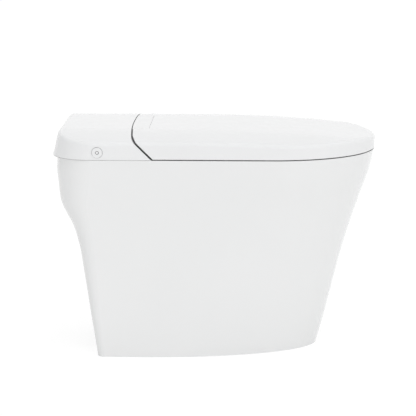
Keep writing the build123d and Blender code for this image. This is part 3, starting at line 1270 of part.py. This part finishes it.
with BuildPart() as water_heater:
    add(block(*HEATER))
    fillet(water_heater.edges().filter_by(Axis.Z), 5)
save("water_heater", water_heater)

with BuildPart() as rim_hose:
    rim_x, rim_z = RIM_HOSE_END
    hose_end = (rim_x, FLUSH_VALVE[0][1], rim_z)
    add(tube((rim_x, WELL_FRONT, rim_z), hose_end, HOSE_RADIUS, HOSE_RADIUS - HOSE_WALL))
save("rim_hose", rim_hose)

PUMP_FOOT = (PUMP_X, PUMP_Y, WELL_FLOOR)
with BuildPart() as jet_hose:
    jet_x, jet_z = JET_HOSE_END
    add(tube((jet_x, WELL_FRONT, jet_z), (jet_x, PUMP_Y, jet_z), HOSE_RADIUS, HOSE_RADIUS - HOSE_WALL))
    add(rod(PUMP_FOOT, (PUMP_X, PUMP_Y, PUMP_TOP), PUMP_RADIUS), mode=Mode.SUBTRACT)
save("jet_hose", jet_hose)

# Short pipes between the valves and the pump
(WASH_LEFT, WASH_FRONT, _), (_, WASH_BACK, _) = WASH_VALVE
WASH_MIDDLE_Y = (WASH_FRONT + WASH_BACK) / 2
with BuildPart() as link_pipes:
    inlet_end = (INLET_X, INLET_Y, LINK_Z)
    add(tube((FLUSH_VALVE[1][0], INLET_Y, LINK_Z), inlet_end, LINK_RADIUS, LINK_BORE))
    add(tube((INLET_X, WASH_FRONT, LINK_Z), inlet_end, LINK_RADIUS, LINK_BORE))
    heater_end = (HEATER[1][0], WASH_MIDDLE_Y, LINK_Z)
    add(tube(heater_end, (WASH_LEFT, WASH_MIDDLE_Y, LINK_Z), LINK_RADIUS, LINK_BORE))
    pump_end = (LINK_PUMP_X, PUMP_Y, LINK_Z)
    add(tube(pump_end, (LINK_PUMP_X, INLET_Y, LINK_Z), LINK_RADIUS, LINK_BORE))
    add(rod(PUMP_FOOT, (PUMP_X, PUMP_Y, PUMP_TOP), PUMP_RADIUS), mode=Mode.SUBTRACT)
    inlet_low = (INLET_X, INLET_Y, WELL_FLOOR)
    add(rod(inlet_low, (INLET_X, INLET_Y, INLET_TOP), INLET_RADIUS), mode=Mode.SUBTRACT)
save("link_pipes", link_pipes)

# Electrics
with BuildPart() as power_supply:
    add(block(*POWER_SUPPLY))
    fillet(power_supply.edges().filter_by(Axis.Z), 4)
save("power_supply", power_supply)

with BuildPart() as control_board:
    board_foot = BASE_TOP + CIRCUIT_LIFT
    board_top = board_foot + CIRCUIT_THICKNESS
    add(block((board_left, board_front, board_foot), (board_right, board_back, board_top)))
save("control_board", control_board)

with BuildPart() as board_parts:
    for x, y, width, depth, height in BOARD_BLOCKS:
        part_high = (board_left + x + width, board_front + y + depth, board_top + height)
        add(block((board_left + x, board_front + y, board_top), part_high))
    for x, y, radius, height in BOARD_CANS:
        can_low = (board_left + x, board_front + y, board_top)
        add(rod(can_low, (board_left + x, board_front + y, board_top + height), radius))
save("board_parts", board_parts)
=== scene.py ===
import json
import math
from itertools import groupby

import bmesh
import bpy
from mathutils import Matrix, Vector
from mathutils.bvhtree import BVHTree


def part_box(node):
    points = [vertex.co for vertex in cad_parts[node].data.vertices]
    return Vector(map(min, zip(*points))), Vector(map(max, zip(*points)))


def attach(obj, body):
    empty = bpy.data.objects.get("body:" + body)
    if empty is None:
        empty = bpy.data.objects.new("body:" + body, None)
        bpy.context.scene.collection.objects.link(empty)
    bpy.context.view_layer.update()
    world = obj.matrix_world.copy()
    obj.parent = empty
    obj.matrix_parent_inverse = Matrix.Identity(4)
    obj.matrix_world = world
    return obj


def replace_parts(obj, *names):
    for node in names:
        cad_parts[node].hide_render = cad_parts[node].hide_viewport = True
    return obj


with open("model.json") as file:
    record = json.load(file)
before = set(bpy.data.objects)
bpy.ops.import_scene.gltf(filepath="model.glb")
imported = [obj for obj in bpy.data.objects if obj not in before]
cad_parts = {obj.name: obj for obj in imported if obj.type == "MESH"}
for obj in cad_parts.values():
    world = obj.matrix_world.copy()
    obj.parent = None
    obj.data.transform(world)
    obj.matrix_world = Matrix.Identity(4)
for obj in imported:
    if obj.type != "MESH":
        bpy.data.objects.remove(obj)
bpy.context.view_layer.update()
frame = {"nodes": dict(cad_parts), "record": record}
NODES = frame["nodes"]

# Camera of the photograph, in metres and degrees
CAMERA_PLACE = (-3.738, -0.100, 1.065)
CAMERA_PITCH = 11.64
CAMERA_TURN = -88.2
CAMERA_LENS = 152.3
SENSOR_WIDTH = 36.0
CAMERA_REACH = 200


def make_camera():
    """The camera at the photograph's viewing angle."""
    data = bpy.data.cameras.new("camera")
    data.lens = CAMERA_LENS
    data.sensor_width = SENSOR_WIDTH
    data.sensor_fit = "HORIZONTAL"
    data.clip_end = CAMERA_REACH
    camera = bpy.data.objects.new("camera", data)
    bpy.context.scene.collection.objects.link(camera)
    camera.location = CAMERA_PLACE
    camera.rotation_euler = (math.radians(90 - CAMERA_PITCH), 0, math.radians(CAMERA_TURN))
    bpy.context.scene.camera = camera


# Most of a noise texture's values lie between these
NOISE_LOW = 0.3
NOISE_HIGH = 0.7


class Shader:
    """A material's node tree, with short calls for what the materials here need."""

    def __init__(self, name, color, roughness, metallic=0.0):
        self.material = bpy.data.materials.new(name)
        self.material.use_nodes = True
        self.tree = self.material.node_tree
        self.base = self.tree.nodes["Principled BSDF"]
        self.base.inputs["Base Color"].default_value = (*color, 1)
        self.base.inputs["Roughness"].default_value = roughness
        self.base.inputs["Metallic"].default_value = metallic
        self.coords = self.tree.nodes.new("ShaderNodeTexCoord").outputs["Object"]

    def set(self, **values):
        for name, value in values.items():
            self.base.inputs[name.replace("_", " ")].default_value = value

    def link(self, output, target):
        self.tree.links.new(output, target)

    def noise(self, scale, detail=2.0, stretch=None):
        node = self.tree.nodes.new("ShaderNodeTexNoise")
        node.inputs["Scale"].default_value = scale
        node.inputs["Detail"].default_value = detail
        source = self.coords
        if stretch:
            mapping = self.tree.nodes.new("ShaderNodeMapping")
            mapping.inputs["Scale"].default_value = stretch
            self.link(source, mapping.inputs["Vector"])
            source = mapping.outputs["Vector"]
        self.link(source, node.inputs["Vector"])
        return node.outputs["Fac"]

    def cells(self, scale, feature="F1"):
        node = self.tree.nodes.new("ShaderNodeTexVoronoi")
        node.feature = feature
        node.inputs["Scale"].default_value = scale
        self.link(self.coords, node.inputs["Vector"])
        return node.outputs["Distance"]

    def tint(self, value, low, high, start=NOISE_LOW, end=NOISE_HIGH):
        node = self.tree.nodes.new("ShaderNodeValToRGB")
        node.color_ramp.elements[0].position = start
        node.color_ramp.elements[0].color = (*low, 1)
        node.color_ramp.elements[1].position = end
        node.color_ramp.elements[1].color = (*high, 1)
        self.link(value, node.inputs["Fac"])
        self.link(node.outputs["Color"], self.base.inputs["Base Color"])

    def rough(self, value, low, high):
        node = self.tree.nodes.new("ShaderNodeMapRange")
        node.inputs["From Min"].default_value = NOISE_LOW
        node.inputs["From Max"].default_value = NOISE_HIGH
        node.inputs["To Min"].default_value = low
        node.inputs["To Max"].default_value = high
        self.link(value, node.inputs["Value"])
        self.link(node.outputs["Result"], self.base.inputs["Roughness"])

    def bump(self, value, distance, strength):
        node = self.tree.nodes.new("ShaderNodeBump")
        node.inputs["Distance"].default_value = distance
        node.inputs["Strength"].default_value = strength
        self.link(value, node.inputs["Height"])
        self.link(node.outputs["Normal"], self.base.inputs["Normal"])


def shade(color, factor):
    return tuple(channel * factor for channel in color)


def glaze(name, color):
    """Vitreous china: deep clear glaze, hardly wavy, with the faintest drift of tone."""
    s = Shader(name, color, 0.1)
    s.set(IOR=1.52, Coat_Weight=0.5, Coat_Roughness=0.04, Coat_IOR=1.5)
    s.tint(s.noise(6.0, detail=1.0), shade(color, 0.992), color)
    s.rough(s.noise(14.0), low=0.08, high=0.14)
    s.bump(s.noise(55.0, detail=1.0), distance=0.0004, strength=0.06)
    return s.material


def gloss(name, color, grain=0.04):
    """Injection-moulded gloss plastic, with very fine orange peel."""
    s = Shader(name, color, 0.2)
    s.set(IOR=1.49, Coat_Weight=0.25, Coat_Roughness=0.08)
    s.tint(s.noise(9.0, detail=1.0), shade(color, 0.99), color)
    s.rough(s.noise(25.0), low=0.16, high=0.24)
    s.bump(s.noise(260.0), distance=0.0002, strength=grain)
    return s.material


def matte(name, color, grain=900.0, low=0.45, high=0.6):
    """Moulded plastic with a spark-eroded grain."""
    s = Shader(name, color, 0.5)
    s.tint(s.noise(30.0, detail=3.0), shade(color, 0.94), shade(color, 1.04))
    s.rough(s.noise(60.0), low, high)
    s.bump(s.noise(grain, detail=3.0), distance=0.0003, strength=0.25)
    return s.material


def rubber(name, color):
    """Matt rubber with a powdery bloom."""
    s = Shader(name, color, 0.75)
    s.set(Sheen_Weight=0.15, Sheen_Roughness=0.6)
    s.tint(s.noise(80.0, detail=3.0), shade(color, 0.85), shade(color, 1.15))
    s.rough(s.noise(120.0), low=0.65, high=0.85)
    s.bump(s.noise(700.0, detail=3.0), distance=0.0004, strength=0.35)
    return s.material


def metal(name, color, low, high):
    """Drawn or turned metal, with fine lines along one axis."""
    s = Shader(name, color, 0.3, metallic=1.0)
    lines = s.noise(90.0, detail=3.0, stretch=(1, 1, 60))
    s.tint(s.noise(40.0), shade(color, 0.93), color)
    s.rough(lines, low, high)
    s.bump(lines, distance=0.0002, strength=0.15)
    return s.material


def board(name, color):
    """Circuit laminate: copper tracks show through the solder mask."""
    s = Shader(name, color, 0.35)
    tracks = s.cells(420.0, "DISTANCE_TO_EDGE")
    s.tint(tracks, shade(color, 1.6), color, start=0.02, end=0.08)
    s.rough(s.noise(200.0), low=0.28, high=0.42)
    s.bump(tracks, distance=0.0001, strength=0.3)
    return s.material


def carbon(name, color):
    """Open-pored filter block."""
    s = Shader(name, color, 0.9)
    pores = s.cells(500.0)
    s.tint(pores, shade(color, 0.4), shade(color, 1.5), start=0.1, end=0.6)
    s.rough(s.noise(300.0), low=0.8, high=0.95)
    s.bump(pores, distance=0.001, strength=0.8)
    return s.material


def film(name, color):
    """Heating film with its serpentine track."""
    s = Shader(name, color, 0.4)
    wave = s.tree.nodes.new("ShaderNodeTexWave")
    wave.inputs["Scale"].default_value = 60.0
    wave.inputs["Distortion"].default_value = 0.4
    s.link(s.coords, wave.inputs["Vector"])
    s.tint(wave.outputs["Fac"], shade(color, 0.6), color, start=0.4, end=0.6)
    s.rough(s.noise(120.0), low=0.3, high=0.5)
    return s.material


FINISHES = {
    "glazed_china": (glaze, (0.855, 0.86, 0.86)),
    "lid_plastic": (gloss, (0.86, 0.865, 0.87)),
    "seat_plastic": (gloss, (0.85, 0.855, 0.86)),
    "window_plastic": (gloss, (0.84, 0.845, 0.85)),
    "chassis_plastic": (matte, (0.60, 0.61, 0.62)),
    "dark_plastic": (matte, (0.035, 0.035, 0.038)),
    "works_plastic": (matte, (0.74, 0.74, 0.71)),
    "blue_plastic": (gloss, (0.10, 0.28, 0.52), 0.1),
    "rubber_grey": (rubber, (0.42, 0.42, 0.42)),
    "rubber_black": (rubber, (0.022, 0.022, 0.022)),
    "steel": (metal, (0.60, 0.61, 0.62), 0.28, 0.42),
    "stainless": (metal, (0.68, 0.69, 0.70), 0.2, 0.34),
    "chrome": (metal, (0.85, 0.86, 0.87), 0.05, 0.12),
    "brass": (metal, (0.74, 0.56, 0.26), 0.2, 0.35),
    "board_green": (board, (0.02, 0.16, 0.07)),
    "component_black": (matte, (0.03, 0.03, 0.032), 1500.0, 0.35, 0.5),
    "heater_foil": (film, (0.55, 0.28, 0.07)),
    "filter_carbon": (carbon, (0.05, 0.05, 0.05)),
}
MATERIALS = {name: make(name, *values) for name, (make, *values) in FINISHES.items()}

for entry in frame["record"]["subparts"]:
    mesh = NODES[entry["node"]].data
    mesh.materials.clear()
    mesh.materials.append(MATERIALS[entry["material_slot"]])


SHARP_ANGLE = 35


def join_rings(mesh, rings):
    """Faces between neighbouring rings, each a closed row of points."""
    for one, two in zip(rings, rings[1:]):
        for i in range(len(one)):
            j = (i + 1) % len(one)
            mesh.faces.new((one[i], one[j], two[j], two[i]))


def cap_ends(mesh, rings):
    mesh.faces.new(rings[0])
    mesh.faces.new(list(reversed(rings[-1])))


def new_piece(name, mesh, slot, body):
    """Finish a mesh as a piece of the object."""
    data = bpy.data.meshes.new(name)
    bmesh.ops.recalc_face_normals(mesh, faces=mesh.faces[:])
    mesh.to_mesh(data)
    mesh.free()
    data.shade_smooth()
    data.set_sharp_from_angle(angle=math.radians(SHARP_ANGLE))
    piece = bpy.data.objects.new(name, data)
    bpy.context.scene.collection.objects.link(piece)
    data.materials.append(MATERIALS[slot])
    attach(piece, body)
    return piece


# Places of the rubber feet, and the lid's crown above them, in metres
SEAT_FEET = ((-0.158, -0.010), (0.158, -0.010), (-0.090, -0.268), (0.090, -0.268))
LID_FEET = ((-0.150, -0.040), (0.150, -0.040), (-0.085, -0.262), (0.085, -0.262))
CROWN_FLAT = 0.092
CROWN_RADIUS = 0.350
NOSE_START = 0.030
NOSE_RADIUS = 3.100

# A rubber foot, its face down. The dished face and rounded lip are shares of the radius, with
# heights in metres. The waist and collar are shares of the radius and of the height.
FOOT_RADIUS = 0.007
FOOT_SIDES = 48
FOOT_FACE = (
    (0.30, 0.0006),
    (0.52, 0.0004),
    (0.62, 0.0001),
    (0.74, 0.0),
    (0.88, 0.0002),
    (0.97, 0.0008),
    (1.0, 0.0016),
)
FOOT_WALL = ((0.98, 0.45), (0.90, 0.62), (0.90, 0.74), (1.0, 0.84), (1.0, 1.0))


def crown_drop(x, y):
    """How far the lid's crown lies below its highest line."""
    side = max(abs(x) - CROWN_FLAT, 0)
    nose = max(NOSE_START - y, 0)
    return CROWN_RADIUS - math.sqrt(CROWN_RADIUS**2 - side**2) + nose**2 / (2 * NOSE_RADIUS)


def add_foot(mesh, place, low, height):
    """Turn the foot's profile round an upright line."""
    profile = [(FOOT_RADIUS * r, z) for r, z in FOOT_FACE]
    profile += [(FOOT_RADIUS * r, height * z) for r, z in FOOT_WALL]
    turns = [2 * math.pi * i / FOOT_SIDES for i in range(FOOT_SIDES)]
    centre = Vector((*place, low))
    rings = []
    for radius, z in profile:
        ring = [Vector((radius * math.cos(a), radius * math.sin(a), z)) for a in turns]
        rings.append([mesh.verts.new(point + centre) for point in ring])
    join_rings(mesh, rings)
    mesh.faces.new(list(reversed(rings[0])))
    mesh.faces.new(rings[-1])


def make_feet():
    """Rubber feet under the seat and the lid, in place of plain studs."""
    (_, _, seat_low), (_, _, seat_high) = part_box("seat_bumpers")
    mesh = bmesh.new()
    for place in SEAT_FEET:
        add_foot(mesh, place, seat_low, seat_high - seat_low)
    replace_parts(new_piece("seat_feet", mesh, "rubber_grey", "seat"), "seat_bumpers")
    (_, _, lid_low), (_, _, lid_high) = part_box("lid_bumpers")
    crown = lid_high + min(crown_drop(*place) for place in LID_FEET)
    mesh = bmesh.new()
    for place in LID_FEET:
        add_foot(mesh, place, lid_low, crown - crown_drop(*place) - lid_low)
    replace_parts(new_piece("lid_feet", mesh, "rubber_grey", "lid"), "lid_bumpers")


def cover_points(middle, upward, steps, reach):
    """Points and outward normals of the cover, over half a turn round a middle point."""
    cover = NODES["housing_cover"].data
    faces = [list(f.vertices) for f in cover.polygons]
    skin = BVHTree.FromPolygons([v.co.copy() for v in cover.vertices], faces)
    plane = Vector((1, 0, 0)) + upward
    for i in range(steps + 1):
        angle = math.pi * i / steps
        out = Vector((-math.cos(angle), 0, 0)) + upward * math.sin(angle)
        place, normal, _, _ = skin.ray_cast(middle + out * reach, -out)
        flat = (normal * plane).normalized()
        yield place, flat if flat.dot(out) > 0 else -flat


# Seam between lid and cover, in metres: a slope from the foot, then an arc across the top
RIM_TOP = 0.432
SEAM_FOOT_Y = 0.1255
SEAM_BOW_MIDDLE = 0.1756
SEAM_BOW_SIDE = 0.1668
SEAM_HALF_WIDTH = 0.191
SEAM_SLOPE_GAP = 0.0056
SEAM_TOP_GAP = 0.0032

# Black strip sunk in the seam as painted shade, so the gap between lid and cover shows dark,
# and how far out the hinge arms that pass through it lie, in metres
SHADE_STRIP_FOOT = 0.4345
SHADE_STRIP_SECTION_Y = 0.200
SHADE_STRIP_RECESS = 0.0022
SHADE_STRIP_LIP = 0.0005
SHADE_STRIP_BACK = 0.0065
SHADE_STRIP_FREE_GAP = 0.0012
SHADE_STRIP_STEPS = 260
SHADE_STRIP_REACH = 0.5
ARMS_INSIDE = 0.0475
ARMS_OUTSIDE = 0.0865


def seam_y(x, z, slope_shift, top_shift):
    """Where the seam's surface lies at a place across and up."""
    rise = SEAM_BOW_MIDDLE - SEAM_BOW_SIDE
    radius = (SEAM_HALF_WIDTH**2 + rise**2) / (2 * rise)
    arc = SEAM_BOW_MIDDLE - radius + math.sqrt(radius**2 - x**2)
    return min(SEAM_FOOT_Y + slope_shift + z - RIM_TOP, arc + top_shift)


def seam_shade_ring(mesh, place, normal):
    """The strip's section at one point of the cover."""
    front = (-SEAM_SLOPE_GAP / 2 + SHADE_STRIP_FREE_GAP, 0)
    back = (SEAM_SLOPE_GAP / 2, SEAM_TOP_GAP / 2)
    middle = tuple((low + high) / 2 for low, high in zip(front, back))
    lip = SHADE_STRIP_RECESS + SHADE_STRIP_LIP
    shape = (
        (front, SHADE_STRIP_BACK),
        (front, lip),
        (middle, SHADE_STRIP_RECESS),
        (back, lip),
        (back, SHADE_STRIP_BACK),
    )
    ring = []
    for shifts, depth in shape:
        point = place - normal * depth
        ring.append(mesh.verts.new((point.x, seam_y(point.x, point.z, *shifts), point.z)))
    return ring


def make_seam_shade_strip():
    """Black strip sunk in the seam as painted shade in the gap, on the lid over the hinge
    arms and else on the cover.
    """
    middle = Vector((0, SHADE_STRIP_SECTION_Y, SHADE_STRIP_FOOT))
    outline = list(cover_points(middle, Vector((0, 0, 1)), SHADE_STRIP_STEPS, SHADE_STRIP_REACH))
    bodies = ["lid" if ARMS_INSIDE < abs(p.x) < ARMS_OUTSIDE else "stand" for p, _ in outline]
    strips = {"stand": bmesh.new(), "lid": bmesh.new()}
    for body, run in groupby(range(len(outline)), key=bodies.__getitem__):
        run = list(run)
        if body == "lid":
            run = [run[0] - 1, *run, run[-1] + 1]
        rings = [seam_shade_ring(strips[body], *outline[i]) for i in run]
        join_rings(strips[body], rings)
        cap_ends(strips[body], rings)
    # Both strips are black painted shade standing in the seam between lid and cover
    new_piece("seam_shade_strip", strips["stand"], "rubber_black", "stand")
    new_piece("lid_seam_shade_strip", strips["lid"], "rubber_black", "lid")


# Grey cord under the cover's foot, a painted shadow of the cover's overhang, in metres
SHADOW_LINE_RADIUS = 0.0006
SHADOW_LINE_PROUD = 0.0003
SHADOW_LINE_HEIGHT = 0.4322
SHADOW_LINE_FRONT_Y = 0.131
SHADOW_LINE_SIDES = 8
SHADOW_LINE_STEPS = 400
SHADOW_LINE_REACH = 0.6


def make_cover_shadow_line():
    """Grey cord along the joint between cover and body, a painted shadow line under the
    cover's overhang.
    """
    mesh = bmesh.new()
    turns = [2 * math.pi * i / SHADOW_LINE_SIDES for i in range(SHADOW_LINE_SIDES)]
    rings = []
    centre = Vector((0, SHADOW_LINE_FRONT_Y, SHADOW_LINE_HEIGHT + SHADOW_LINE_RADIUS))
    for place, normal in cover_points(centre, Vector((0, 1, 0)), SHADOW_LINE_STEPS, SHADOW_LINE_REACH):
        middle = place + normal * (SHADOW_LINE_PROUD - SHADOW_LINE_RADIUS)
        ring = []
        for angle in turns:
            across = normal * (SHADOW_LINE_RADIUS * math.cos(angle))
            height = SHADOW_LINE_HEIGHT + SHADOW_LINE_RADIUS * math.sin(angle)
            ring.append(mesh.verts.new((middle.x + across.x, middle.y + across.y, height)))
        rings.append(ring)
    join_rings(mesh, rings)
    cap_ends(mesh, rings)
    # The grey cord is painted shadow under the cover's foot
    new_piece("cover_shadow_line", mesh, "rubber_grey", "stand")


# Dark ring in the dial, painted shade in the gap round its button, in metres
DIAL_Y = 0.2391
DIAL_Z = 0.4482
DIAL_FACE_X = -0.1933
RING_INNER = 0.00275
RING_OUTER = 0.00365
RING_SUNK = 0.0001
RING_ROUND = 0.0001
RING_BACK = 0.00085
RING_STEPS = 64


def make_dial_shade_ring():
    """Dark ring sunk between the dial and its button, painted shade in the gap there."""
    middle = (RING_INNER + RING_OUTER) / 2
    front, back = DIAL_FACE_X + RING_SUNK, DIAL_FACE_X + RING_BACK
    shape = (
        (RING_INNER, back),
        (RING_INNER, front + RING_ROUND),
        (middle, front),
        (RING_OUTER, front + RING_ROUND),
        (RING_OUTER, back),
    )
    mesh = bmesh.new()
    rings = []
    for i in range(RING_STEPS):
        angle = 2 * math.pi * i / RING_STEPS
        y, z = math.cos(angle), math.sin(angle)
        rings.append([mesh.verts.new((x, DIAL_Y + r * y, DIAL_Z + r * z)) for r, x in shape])
    join_rings(mesh, [*rings, rings[0]])
    # The dark ring is painted shade in the gap between dial and button
    new_piece("dial_shade_ring", mesh, "dark_plastic", "dial")


make_feet()
make_seam_shade_strip()
make_cover_shadow_line()
make_dial_shade_ring()


def ray_share(tree, names):
    """1 for rays of the named kinds, else 0."""
    rays = tree.nodes.new("ShaderNodeLightPath")
    total = rays.outputs[names[0]]
    for name in names[1:]:
        add = tree.nodes.new("ShaderNodeMath")
        add.operation = "MAXIMUM"
        tree.links.new(total, add.inputs[0])
        tree.links.new(rays.outputs[name], add.inputs[1])
        total = add.outputs[0]
    return total


# Light and background. The shown rays see the world and the floor as plain white.
WHITE = (1, 1, 1, 1)
WORLD_STRENGTH = 0.45
WORLD_SHOWN = 1.0
FLOOR_SIZE = 80
FLOOR_COLOR = (0.97, 0.97, 0.97, 1)
FLOOR_GLOW = 0.82
FLOOR_WHITE = 1.06
SHOWN_RAYS = ("Is Camera Ray", "Is Glossy Ray", "Is Transmission Ray")

# Each light's name, direction, strength and spread in degrees
SUNS = (
    ("top", (0.05, 0.05, -1.0), 0.95, 70),
    ("near_side", (1.0, 0.35, -0.45), 0.94, 60),
    ("far_side", (-1.0, -0.25, -0.5), 0.45, 60),
)


def make_world():
    world = bpy.data.worlds.new("world")
    bpy.context.scene.world = world
    world.use_nodes = True
    tree = world.node_tree
    tree.nodes.clear()
    mix = tree.nodes.new("ShaderNodeMixShader")
    tree.links.new(ray_share(tree, SHOWN_RAYS), mix.inputs[0])
    for socket, strength in zip(mix.inputs[1:], (WORLD_STRENGTH, WORLD_SHOWN)):
        light = tree.nodes.new("ShaderNodeBackground")
        light.inputs["Color"].default_value = WHITE
        light.inputs["Strength"].default_value = strength
        tree.links.new(light.outputs[0], socket)
    out = tree.nodes.new("ShaderNodeOutputWorld")
    tree.links.new(mix.outputs[0], out.inputs[0])


def make_floor():
    """Plain white floor that keeps the object's soft shadow."""
    bpy.ops.mesh.primitive_plane_add(size=FLOOR_SIZE)
    floor = bpy.context.object
    floor.name = "floor"
    material = bpy.data.materials.new("floor")
    material.use_nodes = True
    tree = material.node_tree
    base = tree.nodes["Principled BSDF"]
    base.inputs["Base Color"].default_value = FLOOR_COLOR
    base.inputs["Roughness"].default_value = 1.0
    base.inputs["Specular IOR Level"].default_value = 0.0
    white = tree.nodes.new("ShaderNodeEmission")
    white.inputs["Strength"].default_value = FLOOR_WHITE
    share = tree.nodes.new("ShaderNodeMath")
    share.operation = "MULTIPLY"
    share.inputs[1].default_value = FLOOR_GLOW
    tree.links.new(ray_share(tree, SHOWN_RAYS), share.inputs[0])
    mix = tree.nodes.new("ShaderNodeMixShader")
    for output, socket in zip((share, base, white), mix.inputs):
        tree.links.new(output.outputs[0], socket)
    tree.links.new(mix.outputs[0], tree.nodes["Material Output"].inputs["Surface"])
    floor.data.materials.append(material)


def soft_sun(name, towards, strength, spread):
    """Wide soft light from one direction, even over the whole floor."""
    data = bpy.data.lights.new(name, "SUN")
    data.energy = strength
    data.angle = math.radians(spread)
    light = bpy.data.objects.new(name, data)
    bpy.context.scene.collection.objects.link(light)
    light.visible_glossy = False
    light.rotation_euler = Vector(towards).to_track_quat("-Z", "Y").to_euler()


make_camera()
make_world()
make_floor()
for sun in SUNS:
    soft_sun(*sun)

bpy.context.scene.view_settings.view_transform = "Standard"
